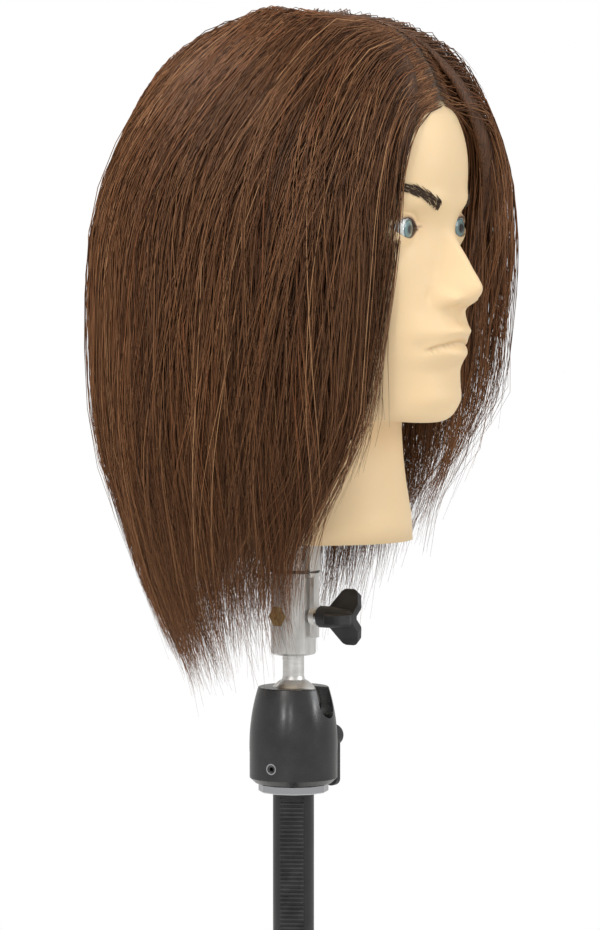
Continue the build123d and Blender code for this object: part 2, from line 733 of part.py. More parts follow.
# One wing seen from its side: distance along the screw from the knob's back, reach from the axis.
wing_outline = [(4.5, 0.0), (6.5, knob_collar_radius), (12.5, wing_reach), (21.5, wing_reach),
                (knob_length, knob_collar_radius + 1.5), (knob_length - 2.5, 0.0)]
with BuildPart() as wing_knob:
    with BuildSketch(Plane.YZ):
        with BuildLine():
            Polyline(
                (-knob_start, screw_z),
                (-knob_start, screw_z + knob_collar_radius - 0.8),
                (-knob_start - 0.8, screw_z + knob_collar_radius),
                (-knob_start - knob_collar_length, screw_z + knob_collar_radius),
                (-knob_end + knob_cap, screw_z + knob_collar_radius - 1.6),
                (-knob_end + 1.5, screw_z + knob_collar_radius - 3.2),
                (-knob_end + 1.5, screw_z),
                close=True,
            )
        make_face()
    revolve(axis=Axis((0, 0, screw_z), (0, 1, 0)))
    for wing in range(wing_count):
        out = radians(first_wing_angle + 360.0 / wing_count * wing)
        wing_plane = Plane(origin=(0, 0, screw_z), x_dir=(0, -1, 0), z_dir=(-sin(out), 0, cos(out)))
        with BuildSketch(wing_plane) as wing_face:
            with BuildLine():
                Polyline(*[(knob_start + along, side) for along, side in wing_outline], close=True)
            make_face()
            tips = [v for v in wing_face.vertices() if v.distance_to((0, v.Y, screw_z)) > wing_reach - 0.5]
            fillet(tips, wing_round)
        extrude(amount=wing_thickness / 2, both=True)
    with BuildSketch(screw_plane):
        with Locations((0, screw_z)):
            Circle(wing_stud_radius + press_gap)
    extrude(amount=knob_end - knob_cap + 2 * face_gap, mode=Mode.SUBTRACT)
wing_knob.part.label = "wing_knob"
export_step(wing_knob.part, "parts/wing_knob.step")


# ------------------------------------------------------------------ head
socket_centre_y = -jaw_forward
socket_top = post_top + loose_gap
socket_outer = socket_bore_radius + socket_wall

with BuildPart() as neck_socket:
    with BuildSketch(Plane.XY.offset(head_base)):
        with Locations((0, socket_centre_y)):
            Circle(socket_outer)
    extrude(amount=socket_top + socket_roof - head_base)
    with BuildSketch(Plane.XY.offset(head_base)):
        with Locations((0, socket_centre_y)):
            Circle(socket_bore_radius)
    extrude(amount=socket_top - head_base, mode=Mode.SUBTRACT)
neck_socket.part.label = "neck_socket"
export_step(neck_socket.part, "parts/neck_socket.step")

head_outer = head_form(0)
head_inner = head_form(-skin_thickness)
foam_form = head_form(-skin_thickness - skin_gap)

with BuildPart() as eyes_space:
    for side in (-1, 1):
        with Locations((side * eye_spread, eye_centre_y, eye_height)):
            Sphere(eye_radius + skin_gap)

with BuildPart() as head_shell:
    add(head_outer)
    add(head_inner, mode=Mode.SUBTRACT)
    # The neck is open below, for the base plate.
    with BuildSketch(Plane.XY.offset(head_base)):
        with Locations((0, neck_sections[0][1])):
            Ellipse(neck_sections[0][2] - skin_thickness, neck_sections[0][3] - skin_thickness)
    extrude(amount=skin_thickness + 1.0, mode=Mode.SUBTRACT)
    add(eyes_space.part, mode=Mode.SUBTRACT)
    with BuildSketch(Plane.XZ.offset(-eye_centre_y)):
        with Locations((-eye_spread, eye_height), (eye_spread, eye_height)):
            Ellipse(eye_opening_width / 2, eye_opening_height / 2)
    extrude(amount=3 * eye_radius, mode=Mode.SUBTRACT)
head_shell.part.label = "head_shell"
export_step(head_shell.part, "parts/head_shell.step")

with BuildPart() as foam_core:
    add(foam_form)
    with BuildSketch(Plane.XY.offset(head_base - 5.0)):
        Circle(2 * neck_sections[0][3])
    extrude(amount=base_plate_thickness + 5.0 + skin_gap, mode=Mode.SUBTRACT)
    with BuildSketch(Plane.XY.offset(head_base - 5.0)):
        with Locations((0, socket_centre_y)):
            Circle(socket_outer + skin_gap)
    extrude(amount=socket_top + socket_roof + 5.0 + skin_gap - head_base, mode=Mode.SUBTRACT)
    add(eyes_space.part, mode=Mode.SUBTRACT)
foam_core.part.label = "foam_core"
export_step(foam_core.part, "parts/foam_core.step")

screw_circle = socket_outer + base_screw_margin
screw_spots = [(screw_circle * cos(radians(a)), socket_centre_y + screw_circle * sin(radians(a)))
               for a in (45, 135, 225, 315)]
plate_bottom = head_base + base_recess
plate_inset = skin_thickness + 1.2
with BuildPart() as neck_base_plate:
    with BuildSketch(Plane.XY.offset(plate_bottom)):
        with Locations((0, neck_sections[0][1])):
            Ellipse(neck_sections[1][2] - plate_inset, neck_sections[1][3] - plate_inset)
        with Locations((0, socket_centre_y)):
            Circle(socket_outer + press_gap, mode=Mode.SUBTRACT)
    extrude(amount=base_plate_thickness - base_recess)
    with BuildSketch(Plane.XY.offset(head_base)):
        with Locations(*screw_spots):
            Circle(base_screw_radius + press_gap)
    extrude(amount=base_plate_thickness + 1.0, mode=Mode.SUBTRACT)
neck_base_plate.part.label = "neck_base_plate"
export_step(neck_base_plate.part, "parts/neck_base_plate.step")

with BuildPart() as base_screws:
    with BuildSketch(Plane.XY.offset(plate_bottom)):
        with Locations(*screw_spots):
            Circle(base_screw_radius)
    extrude(amount=base_plate_thickness - 2 * base_recess)
    with BuildSketch(Plane.XY.offset(plate_bottom)):
        with Locations(*screw_spots):
            Circle(2 * base_screw_radius)
    extrude(amount=-base_screw_head)
    with BuildSketch(Plane.XY.offset(plate_bottom - base_screw_head)):
        with Locations(*screw_spots):
            Rectangle(3.0, 0.7)
            Rectangle(0.7, 3.0)
    extrude(amount=0.8, mode=Mode.SUBTRACT)
base_screws.part.label = "base_screws"
export_step(base_screws.part, "parts/base_screws.step")

for eye_name, side in (("eye_right", -1), ("eye_left", 1)):
    with BuildPart() as eye:
        with Locations((side * eye_spread, eye_centre_y, eye_height)):
            Sphere(eye_radius)
    eye.part.label = eye_name
    export_step(eye.part, f"parts/{eye_name}.step")

# ------------------------------------------------------------------ hair
with BuildPart() as hair_mass:
    add(ellipse_loft(hair_sections, 0))
    add(head_form(hair_gap), mode=Mode.SUBTRACT)
    add(ellipse_loft(hair_hollow_sections, 0), mode=Mode.SUBTRACT)
    # Opening for the face, between the two curtains of hair.
    with BuildSketch(Plane.XZ.offset(-window_back_y)):
        with BuildLine():
            mirrored = [(-x, z) for x, z in reversed(face_window[1:])]
            Polyline(*(face_window + mirrored), close=True)
        make_face()
    extrude(amount=300.0, mode=Mode.SUBTRACT)
    # The ends run down from the front to the back.
    with BuildSketch(Plane.YZ):
        with BuildLine():
            Polyline((-200.0, hair_front_end), (-90.0, hair_front_end), (20.0, hair_back_end + 2.0),
                     (200.0, hair_back_end + 2.0), (200.0, 200.0), (-200.0, 200.0), close=True)
        make_face()
    extrude(amount=300.0, both=True, mode=Mode.SUBTRACT)

hair_part_gap = 0.2
far = 400.0
low_z = (0.0, top_parting_height - hair_part_gap / 2)
high_z = (top_parting_height + hair_part_gap / 2, far * 2)
front_y = (-far, back_parting_y - hair_part_gap / 2)
back_y = (back_parting_y + hair_part_gap / 2, far)
sections = [
    ("hair_top", high_z, (-far, far)),
    ("hair_side", low_z, front_y),
    ("hair_back", low_z, back_y),
]
for section_name, (z_low, z_high), (y_low, y_high) in sections:
    for side_name, side in (("right", -1), ("left", 1)):
        with BuildPart() as lock:
            add(hair_mass.part)
            with BuildSketch(Plane.XY.offset(z_low)):
                with Locations((side * (far + hair_part_gap) / 2, (y_low + y_high) / 2)):
                    Rectangle(far, y_high - y_low)
            extrude(amount=z_high - z_low, mode=Mode.INTERSECT)
        lock.part.label = f"{section_name}_{side_name}"
        export_step(lock.part, f"parts/{section_name}_{side_name}.step")
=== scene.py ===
import math
import bpy
import numpy as np
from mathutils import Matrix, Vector


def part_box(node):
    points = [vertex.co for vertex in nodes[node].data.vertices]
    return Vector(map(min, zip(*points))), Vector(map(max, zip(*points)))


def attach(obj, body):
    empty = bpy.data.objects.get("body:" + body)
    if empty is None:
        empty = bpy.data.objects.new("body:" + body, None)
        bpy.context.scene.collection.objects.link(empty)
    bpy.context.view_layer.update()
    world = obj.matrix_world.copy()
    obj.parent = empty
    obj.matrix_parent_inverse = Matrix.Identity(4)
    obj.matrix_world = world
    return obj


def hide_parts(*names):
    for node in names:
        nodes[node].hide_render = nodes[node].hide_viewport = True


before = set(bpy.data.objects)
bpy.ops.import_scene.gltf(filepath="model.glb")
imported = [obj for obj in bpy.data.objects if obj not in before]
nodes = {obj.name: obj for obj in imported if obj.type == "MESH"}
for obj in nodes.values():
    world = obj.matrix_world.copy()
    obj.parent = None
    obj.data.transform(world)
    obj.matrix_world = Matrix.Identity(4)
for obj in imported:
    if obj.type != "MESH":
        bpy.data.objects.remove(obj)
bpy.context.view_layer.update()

scene = bpy.context.scene
mm = 0.001


def boxCentre(node):
    low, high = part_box(node)
    return (low + high) / 2


# heights on the head are millimetres above the flat bottom of the neck
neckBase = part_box("head_shell")[0].z / mm
eyeCentre = boxCentre("eye_left") / mm
eyeLine = eyeCentre.z - neckBase


# material helpers
socketNames = {
    "colour": "Base Color", "metallic": "Metallic", "roughness": "Roughness",
    "specular": "Specular IOR Level", "coat": "Coat Weight", "coatRoughness": "Coat Roughness",
    "subsurface": "Subsurface Weight", "subsurfaceScale": "Subsurface Scale",
    "subsurfaceRadius": "Subsurface Radius",
}


def newMaterial(name, **values):
    material = bpy.data.materials.new(name)
    material.use_nodes = True
    shader = material.node_tree.nodes["Principled BSDF"]
    for socket, value in values.items():
        shader.inputs[socketNames[socket]].default_value = (*value, 1.0) if socket == "colour" else value
    return material


def addNode(material, kind, inputs=None, **settings):
    node = material.node_tree.nodes.new(kind)
    for key, value in settings.items():
        setattr(node, key, value)
    for key, value in (inputs or {}).items():
        if hasattr(value, "is_output"):
            material.node_tree.links.new(value, node.inputs[key])
        else:
            node.inputs[key].default_value = value
    return node


def connect(material, output, socket):
    shader = material.node_tree.nodes["Principled BSDF"]
    material.node_tree.links.new(output, shader.inputs[socket])


def colourRamp(material, factor, stops):
    ramp = addNode(material, "ShaderNodeValToRGB", {"Fac": factor})
    elements = ramp.color_ramp.elements
    while len(elements) < len(stops):
        elements.new(0.5)
    for element, (position, colour) in zip(elements, stops):
        element.position = position
        element.color = (*colour, 1)
    return ramp.outputs["Color"]


def multiplyColours(material, first, second, amount):
    # the colour sockets of a Mix node are its seventh and eighth inputs and its third output
    mixed = addNode(material, "ShaderNodeMix", data_type="RGBA", blend_type="MULTIPLY")
    mixed.inputs["Factor"].default_value = amount
    material.node_tree.links.new(first, mixed.inputs[6])
    material.node_tree.links.new(second, mixed.inputs[7])
    return mixed.outputs[2]


def objectNoise(material, scale, detail=3.0, stretch=(1, 1, 1)):
    place = addNode(material, "ShaderNodeTexCoord")
    mapping = addNode(material, "ShaderNodeMapping", {"Vector": place.outputs["Object"], "Scale": stretch})
    noise = addNode(material, "ShaderNodeTexNoise", {"Vector": mapping.outputs["Vector"], "Scale": scale,
                                                     "Detail": detail})
    return noise.outputs["Fac"]


def mottle(material, dark, light, scale, stretch=(1, 1, 1)):
    noise = objectNoise(material, scale, stretch=stretch)
    connect(material, colourRamp(material, noise, [(0.35, dark), (0.65, light)]), "Base Color")


def roughen(material, low, high, scale, stretch=(1, 1, 1)):
    noise = objectNoise(material, scale, stretch=stretch)
    ranged = addNode(material, "ShaderNodeMapRange", {"Value": noise, "From Min": 0.3, "From Max": 0.7,
                                                      "To Min": low, "To Max": high})
    connect(material, ranged.outputs["Result"], "Roughness")


def grain(material, scale, strength, distance, stretch=(1, 1, 1)):
    noise = objectNoise(material, scale, 4.0, stretch)
    bump = addNode(material, "ShaderNodeBump", {"Height": noise, "Strength": strength, "Distance": distance})
    connect(material, bump.outputs["Normal"], "Normal")


# camera, floor and light
view = {
    "azimuth": -60.0, "elevation": 3.7, "distance": 2.7, "lens": 180.0, "sensor": 36.0, "farthest": 50.0,
    "aimHeight": 0.4305, "aimRight": 0.0038,
}
light = {
    "world": 0.62, "aimHeight": 0.5,
    # azimuth, elevation, distance, size, power, colour
    "lamps": {
        "keyLight": (-95, 38, 2.2, 1.3, 29.0, (1.0, 0.97, 0.93)),
        "fillLight": (15, 22, 2.2, 1.2, 13.0, (0.95, 0.98, 1.0)),
        "topLight": (-30, 78, 1.9, 0.9, 4.0, (1, 1, 1)),
        "rimLight": (150, 35, 2.2, 1.0, 7.0, (1, 1, 1)),
        "stripLeft": (-88, 4, 1.3, 0.06, 0.9, (1, 1, 1)),
        "stripMiddle": (-68, 4, 1.3, 0.06, 0.55, (1, 1, 1)),
        "stripRight": (5, 4, 1.3, 0.06, 0.8, (1, 1, 1)),
    },
}
ground = {"half": 0.6, "drop": 0.0005, "colour": (0.86, 0.86, 0.85), "roughness": 0.8}


def towards(azimuth, elevation):
    turn, rise = math.radians(azimuth), math.radians(elevation)
    return Vector((math.sin(turn) * math.cos(rise), -math.cos(turn) * math.cos(rise), math.sin(rise)))


def lookBack(thing, aim, back, distance):
    thing.location = aim + back * distance
    thing.rotation_euler = (-back).to_track_quat("-Z", "Y").to_euler()
    scene.collection.objects.link(thing)


def makeCamera():
    turn = math.radians(view["azimuth"])
    right = Vector((math.cos(turn), math.sin(turn), 0))
    aim = right * view["aimRight"] + Vector((0, 0, view["aimHeight"]))
    camera = bpy.data.objects.new("camera", bpy.data.cameras.new("camera"))
    camera.data.lens = view["lens"]
    camera.data.sensor_width = view["sensor"]
    camera.data.clip_end = view["farthest"]
    lookBack(camera, aim, towards(view["azimuth"], view["elevation"]), view["distance"])
    scene.camera = camera


def areaLight(name, azimuth, elevation, distance, size, power, colour):
    lamp = bpy.data.objects.new(name, bpy.data.lights.new(name, "AREA"))
    lamp.data.shape = "DISK"
    lamp.data.size = size
    lamp.data.energy = power
    lamp.data.color = colour
    lookBack(lamp, Vector((0, 0, light["aimHeight"])), towards(azimuth, elevation), distance)


def makeWorld():
    # the lens sees clean white, everything else is lit by a slightly warm grey
    world = bpy.data.worlds.new("studio")
    world.use_nodes = True
    tree = world.node_tree
    ambient = tree.nodes["Background"]
    ambient.inputs["Color"].default_value = (1.0, 0.99, 0.975, 1)
    ambient.inputs["Strength"].default_value = light["world"]
    clean = tree.nodes.new("ShaderNodeBackground")
    clean.inputs["Color"].default_value = (1, 1, 1, 1)
    mix = tree.nodes.new("ShaderNodeMixShader")
    path = tree.nodes.new("ShaderNodeLightPath")
    tree.links.new(path.outputs["Is Camera Ray"], mix.inputs["Fac"])
    tree.links.new(ambient.outputs["Background"], mix.inputs[1])
    tree.links.new(clean.outputs["Background"], mix.inputs[2])
    tree.links.new(mix.outputs["Shader"], tree.nodes["World Output"].inputs["Surface"])
    scene.world = world


def makeStage():
    scene.view_settings.view_transform = "Standard"
    scene.view_settings.look = "None"
    makeWorld()
    for name, values in light["lamps"].items():
        areaLight(name, *values)
    mesh = bpy.data.meshes.new("floor")
    side, low = ground["half"], -ground["drop"]
    mesh.from_pydata([(-side, -side, low), (side, -side, low), (side, side, low), (-side, side, low)],
                     [], [(0, 1, 2, 3)])
    floor = bpy.data.objects.new("floor", mesh)
    scene.collection.objects.link(floor)
    mesh.materials.append(newMaterial("paleFloor", colour=ground["colour"], roughness=ground["roughness"]))


makeCamera()
makeStage()
print("camera, floor and lights made")


# finishes of the holder, the ball head and the column
finishes = {
    # mottle: dark, light, scale, stretch; roughen: low, high, scale, stretch
    # grain: scale, strength, depth, stretch
    "castAluminium": {
        "shader": {"metallic": 0.8}, "mottle": ((0.60, 0.59, 0.57), (0.86, 0.85, 0.83), 90.0, (1, 1, 0.35)),
        "roughen": (0.3, 0.55, 240.0), "grain": (420.0, 0.35, 0.0006), "nodes": ["holder_post", "clamp_jaw"],
    },
    "satinAluminium": {
        "shader": {"metallic": 1.0}, "mottle": ((0.72, 0.71, 0.69), (0.84, 0.83, 0.81), 160.0, (1, 1, 4)),
        "roughen": (0.34, 0.44, 300.0, (1, 1, 6)), "grain": (500.0, 0.12, 0.0003, (1, 1, 5)),
        "nodes": ["ball_stud"],
    },
    "brightChrome": {
        "shader": {"colour": (0.50, 0.51, 0.53), "metallic": 1.0}, "roughen": (0.06, 0.16, 120.0),
        "nodes": ["base_ring", "grub_bezel", "thrust_washer"],
    },
    "housingPaint": {
        "shader": {"specular": 0.7}, "mottle": ((0.008, 0.008, 0.009), (0.018, 0.018, 0.019), 60.0),
        "roughen": (0.2, 0.3, 180.0), "grain": (900.0, 0.12, 0.0002), "nodes": ["ball_housing"],
    },
    "columnCoat": {
        "shader": {"specular": 0.5}, "mottle": ((0.007, 0.007, 0.008), (0.016, 0.016, 0.018), 45.0),
        "roughen": (0.28, 0.4, 150.0, (1, 1, 0.3)), "grain": (1300.0, 0.1, 0.0002),
        "nodes": ["centre_column"],
    },
    "blackPlastic": {
        "shader": {"specular": 0.4}, "mottle": ((0.016, 0.016, 0.017), (0.034, 0.034, 0.036), 130.0),
        "roughen": (0.42, 0.62, 260.0), "grain": (1100.0, 0.25, 0.0003),
        "nodes": ["rack_strip", "wing_knob", "lock_lever", "column_end_plug", "friction_washer"],
    },
    "zincSteel": {
        "shader": {"metallic": 1.0}, "mottle": ((0.5, 0.5, 0.48), (0.64, 0.64, 0.62), 200.0),
        "roughen": (0.25, 0.4, 300.0),
        "nodes": ["column_top_plug", "pan_stud", "housing_floor", "cam_spindle", "wing_stud", "base_screws"],
    },
    "darkSteel": {
        "shader": {"metallic": 1.0}, "mottle": ((0.06, 0.06, 0.06), (0.16, 0.155, 0.15), 300.0),
        "roughen": (0.3, 0.45, 300.0),
        "nodes": ["grub_screw", "lever_screw", "post_set_screw", "spring_ring"],
    },
    "nutBrass": {
        "shader": {"metallic": 1.0}, "mottle": ((0.42, 0.3, 0.12), (0.6, 0.45, 0.2), 250.0),
        "roughen": (0.25, 0.42, 300.0), "nodes": ["barrel_nut", "pan_bush", "spindle_bush"],
    },
    "whiteNylon": {
        "shader": {"subsurface": 0.1}, "mottle": ((0.66, 0.65, 0.6), (0.78, 0.77, 0.73), 90.0),
        "roughen": (0.4, 0.55, 200.0), "nodes": ["ball_cup", "neck_socket"],
    },
    "neckPlate": {
        "shader": {}, "mottle": ((0.72, 0.55, 0.33), (0.82, 0.65, 0.4), 70.0),
        "roughen": (0.5, 0.7, 200.0), "nodes": ["neck_base_plate"],
    },
}


def finishHardware():
    for name, finish in finishes.items():
        material = newMaterial(name, **finish["shader"])
        for step, apply in (("mottle", mottle), ("roughen", roughen), ("grain", grain)):
            if step in finish:
                apply(material, *finish[step])
        for node in finish["nodes"]:
            for slot in nodes[node].material_slots:
                slot.material = material


finishHardware()
print("hardware finished")


# form of the head, as a distance field in millimetres
def smoothCurve(rows, column):
    points = np.array([(row[0], row[column]) for row in rows], float)
    places, values = points[:, 0], points[:, 1]
    slopes = np.gradient(values, places)

    def at(place):
        place = np.clip(place, places[0], places[-1])
        k = np.clip(np.searchsorted(places, place) - 1, 0, len(places) - 2)
        span = places[k + 1] - places[k]
        t = (place - places[k]) / span
        return ((2 * t**3 - 3 * t**2 + 1) * values[k] + (t**3 - 2 * t**2 + t) * span * slopes[k]
                + (3 * t**2 - 2 * t**3) * values[k + 1] + (t**3 - t**2) * span * slopes[k + 1])

    return at


head = {
    # height, front, half width, depth of the widest place, back
    "skull": [
        (60, -92, 42, -40, 22), (75, -101, 46, -36, 34), (81.5, -103.5, 49, -32, 40),
        (90, -103.8, 52, -28, 48), (99.5, -105, 55, -25, 56), (108, -107.6, 57.5, -22, 62),
        (113.5, -108.5, 59, -21, 66), (121.5, -109.5, 61, -19, 70), (128, -108.2, 62.5, -17, 74),
        (134.5, -106.5, 64, -15, 77), (146.5, -104.2, 66.5, -12, 81), (161.5, -102.6, 69.5, -10, 85),
        (179.5, -101.8, 71, -9, 88), (196, -105.2, 72, -8, 89), (212, -106.4, 72, -8, 89),
        (232, -104, 70.5, -7, 86), (251, -97, 65, -6, 80), (264, -92, 59, -5, 72),
        (276, -86, 50, -5, 61), (286, -77, 40, -5, 49), (294, -63, 29, -6, 35),
        (300, -40, 15, -6, 18), (302.5, -14, 4, -6, 4),
    ],
    "neck": [
        (0, -74, 59, -5, 64), (14, -71, 57.5, -6, 58), (30, -68, 55, -8, 52), (50, -65.5, 53, -9, 47),
        (80, -64, 52, -10, 45), (120, -62, 52, -10, 46), (170, -60, 52, -10, 46),
    ],
    # height, how far the nose stands out, half width of its ridge
    "nose": [
        (126, 0, 13), (131, 0.8, 13), (134.5, 4.0, 12.5), (138, 11.0, 12), (141.5, 16.0, 11),
        (146.5, 19.0, 9.8), (151.5, 17.4, 8.8), (156.5, 14.6, 7.6), (163.5, 11.0, 6.6), (171.5, 6.2, 6.4),
        (179.5, 2.2, 7.5), (187, 0.6, 9), (196, 0, 10),
    ],
    "noseSharpness": 2.4,
    # sideways place, height, spread sideways, spread in height, amount
    "bumps": [
        (20, 195, 15, 5.5, 2.6), (0, 190, 9, 7, 0.6), (46, 158, 13, 12, 2.6), (47, 122, 12, 15, -2.2),
        (12.6, 140.6, 3.8, 4.4, 6.4), (19.5, 141.5, 2.4, 5.0, -1.3), (6.8, 135.8, 2.4, 1.8, -1.6),
        (0, 82, 15, 9, 1.8), (17, 84, 9, 9, 1.2),
        (0, 121.5, 14, 3.8, 4.3), (5, 123.0, 5, 2.4, 0.8), (0, 108.6, 13, 4.0, 4.2),
        (0, 99.5, 17, 3.4, -1.6), (0, 128.5, 2.6, 4.5, -0.9), (26, 113, 4.5, 5, -1.2), (24, 132, 6, 9, -1.2),
        (0, 222, 40, 22, 1.2),
    ],
    "jawHeight": 68.5, "jawRise": 0.11, "jawRound": 8.0, "crown": 302.0, "crownRound": 3.0,
    "neckTop": 175, "neckTopRound": 5.0, "throatBlend": 7.0, "baseRound": 2.5,
    "faceEdge": (35, 60),  # how far forward the features fade in
    "centre": (0.0, -20.0, 171.5),  # where the rays that find the skin start
    "pole": 301.5,
}
eye = {
    "radius": 15.5, "setBack": 1.8, "corneaHeight": 0.55, "corneaAngle": 0.42, "rings": 48, "spokes": 64,
    "lidRadius": 16.7, "lidBlend": 3.0, "halfWidth": 11.6, "innerWidth": 8.8, "upper": 5.4, "lower": 4.8,
    "upperCurve": 2.4, "lowerCurve": 2.2, "tilt": 0.05, "recess": 8.5,
    "socket": 5.2, "socketWidth": 15.0, "socketHeight": 9.5, "fold": 0.9, "foldHeight": 4.0, "foldWidth": 1.1,
    "irisRadius": 5.6, "pupilRadius": 2.3, "gazeIn": 0.3, "gazeDown": 0.3, "clearance": 1.5,
}
mouth = {"height": 115.2, "halfWidth": 24.5, "depth": 2.4, "width": 1.15, "droop": 4.6}


def section(x, y, half, middle, front, back, power=2.0):
    dy = y - middle
    depth = np.where(dy < 0, middle - front, back - middle)
    rho = ((x / half) ** power + (np.abs(dy) / depth) ** power) ** (1 / power)  # 1 on the outline
    reach = np.sqrt(x * x + dy * dy)
    return reach - reach / np.maximum(rho, 1e-5)


def smoothMin(a, b, k):
    h = np.clip(0.5 + 0.5 * (b - a) / k, 0, 1)
    return b * (1 - h) + a * h - k * h * (1 - h)


def smoothMax(a, b, k):
    return -smoothMin(-a, -b, k)


def smoothStep(value, low, high):
    t = np.clip((value - low) / (high - low), 0, 1)
    return t * t * (3 - 2 * t)


skullCurves = [smoothCurve(head["skull"], k) for k in (1, 2, 3, 4)]
neckCurves = [smoothCurve(head["neck"], k) for k in (1, 2, 3, 4)]
noseHeight = smoothCurve(head["nose"], 1)
noseWidth = smoothCurve(head["nose"], 2)


def plainHead(point):
    x, y, z = np.abs(point[:, 0]), point[:, 1], point[:, 2]
    front, half, middle, back = (curve(z) for curve in skullCurves)
    skull = section(x, y, half, middle, front, back)
    skull = smoothMax(skull, z - head["crown"], head["crownRound"])
    jaw = head["jawHeight"] + head["jawRise"] * (y + 100) - z
    skull = smoothMax(skull, jaw, head["jawRound"])
    front, half, middle, back = (curve(z) for curve in neckCurves)
    neck = section(x, y, half, middle, front, back)
    neck = smoothMax(neck, z - head["neckTop"], head["neckTopRound"])
    return smoothMin(skull, neck, head["throatBlend"])


def openingWidth(x):
    return np.where(x < eyeCentre.x, eye["innerWidth"], eye["halfWidth"])


def lidHeights(x):
    s = np.clip((x - eyeCentre.x) / openingWidth(x), -1, 1)
    lean = eye["tilt"] * (x - eyeCentre.x)
    upper = eyeLine + lean + eye["upper"] * (1 - np.abs(s) ** eye["upperCurve"])
    lower = eyeLine + lean - eye["lower"] * (1 - np.abs(s) ** eye["lowerCurve"])
    return upper, lower


def lidEdge(x, z):
    # positive inside the opening of the lids
    upper, lower = lidHeights(x)
    side = openingWidth(x) - np.abs(x - eyeCentre.x)
    return np.minimum(np.minimum(upper - z, z - lower), side)


def eyeReach(x, y, z):
    return np.sqrt((x - eyeCentre.x) ** 2 + (y - eyeCentre.y - eye["setBack"]) ** 2 + (z - eyeLine) ** 2)


def fullHead(point):
    x, y, z = np.abs(point[:, 0]), point[:, 1], point[:, 2]
    form = plainHead(point)
    facing = smoothStep(-y, *head["faceEdge"])
    ridge = np.exp(-((x / noseWidth(z)) ** head["noseSharpness"]))
    form = form - facing * noseHeight(z) * ridge * ((z > head["nose"][0][0]) & (z < head["nose"][-1][0]))
    for sideways, height, across, upright, amount in head["bumps"]:
        near = ((x - sideways) / across) ** 2 + ((z - height) / upright) ** 2
        form = form - facing * amount * np.exp(-near)
    around = ((x - eyeCentre.x) / eye["socketWidth"]) ** 2 + ((z - eyeLine - 1) / eye["socketHeight"]) ** 2
    form = form + facing * eye["socket"] * np.exp(-around)
    lid = smoothMin(form, eyeReach(x, y, z) - eye["lidRadius"], eye["lidBlend"])
    form = np.where(y < -head["faceEdge"][1], lid, form)
    upper, lower = lidHeights(x)
    beside = smoothStep(np.abs(x - eyeCentre.x), eye["halfWidth"] + 2, eye["halfWidth"] - 4)
    fold = eye["fold"] * beside * np.exp(-(((z - upper - eye["foldHeight"]) / eye["foldWidth"]) ** 2))
    form = form + facing * fold
    form = form + facing * eye["recess"] * smoothStep(lidEdge(x, z), -0.25, 0.55)
    crease = mouth["height"] - mouth["droop"] * (x / mouth["halfWidth"]) ** 2
    corner = smoothStep(x, mouth["halfWidth"] + 1.5, mouth["halfWidth"] - 5)
    form = form + facing * mouth["depth"] * corner * np.exp(-(((z - crease) / mouth["width"]) ** 2))
    return smoothMax(form, -z, head["baseRound"])


def spread(stops):
    return np.concatenate([np.arange(low, high, step) for low, high, step in stops])


headCentre = np.array(head["centre"])


def surfaceReach(field, count, nearest, farthest, halvings):
    # halves the distance along each ray until it meets the surface
    inner, outer = np.full(count, nearest), np.full(count, farthest)
    for _ in range(halvings):
        middle = (inner + outer) / 2
        outside = field(middle) > 0
        outer = np.where(outside, middle, outer)
        inner = np.where(outside, inner, middle)
    return (inner + outer) / 2


def castHead(field, coarse=1.0):
    # rows from the crown down to the neck's base, columns round the head, both finest at the face
    half = spread([(0, 12, 0.7 * coarse), (12, 37, 0.42 * coarse), (37, 62, coarse), (62, 178.5, 3.2)])
    azimuths = np.radians(np.concatenate([half, [180.0], 360 - half[:0:-1]]))
    polar = np.radians(spread([(1.5, 50, 2.2), (50, 75, 0.9 * coarse), (75, 95, 0.33 * coarse),
                               (95, 125, 0.42 * coarse), (125, 150, 0.6 * coarse), (150, 179, 1.2)]))
    column, row = np.meshgrid(azimuths, polar)
    ray = np.stack([np.sin(row) * np.sin(column), -np.sin(row) * np.cos(column), np.cos(row)], -1)
    ray = ray.reshape(-1, 3)
    reach = surfaceReach(lambda far: field(headCentre + ray * far[:, None]), len(ray), 20.0, 260.0, 22)
    return headCentre + ray * reach[:, None], len(polar), len(azimuths)


def gridFaces(rows, columns, top, bottom):
    index = np.arange(rows * columns).reshape(rows, columns)
    across = np.roll(index, -1, axis=1)
    quads = np.stack([index[:-1], index[1:], across[1:], across[:-1]], -1).reshape(-1, 4)
    faces = quads.tolist()
    faces += [(top, a, b) for a, b in zip(index[0].tolist(), across[0].tolist())]
    faces += [(bottom, b, a) for a, b in zip(index[-1].tolist(), across[-1].tolist())]
    return faces


def inFrame(points):
    # millimetres above the neck's base, to metres in the shared frame
    return np.asarray(points) * mm + np.array([0, 0, neckBase * mm])


def meshObject(name, points, faces):
    mesh = bpy.data.meshes.new(name)
    mesh.from_pydata(inFrame(points).tolist(), [], faces)
    mesh.update()
    mesh.polygons.foreach_set("use_smooth", [True] * len(mesh.polygons))
    made = bpy.data.objects.new(name, mesh)
    scene.collection.objects.link(made)
    return made


# skin with its paint
skinTone = {
    "skin": (0.86, 0.645, 0.385), "blush": (0.82, 0.56, 0.32), "lid": (0.30, 0.19, 0.14),
    "paint": (0.075, 0.04, 0.026), "brow": (0.10, 0.062, 0.042), "scalp": (0.05, 0.028, 0.017),
}
brow = {
    # sideways place and height along the brow, and half its thickness there
    "path": [(16, 192.5), (22, 196.5), (30, 201.2), (38, 204), (46, 202)],
    "thickness": [3.0, 3.7, 3.3, 2.4, 1.0],
    "hairs": 210, "hairThickness": 0.26, "hairPoints": 6, "hairLength": (3.0, 5.2), "lean": (62, -8),
    "hairColour": (0.055, 0.034, 0.022), "seed": 5,
}
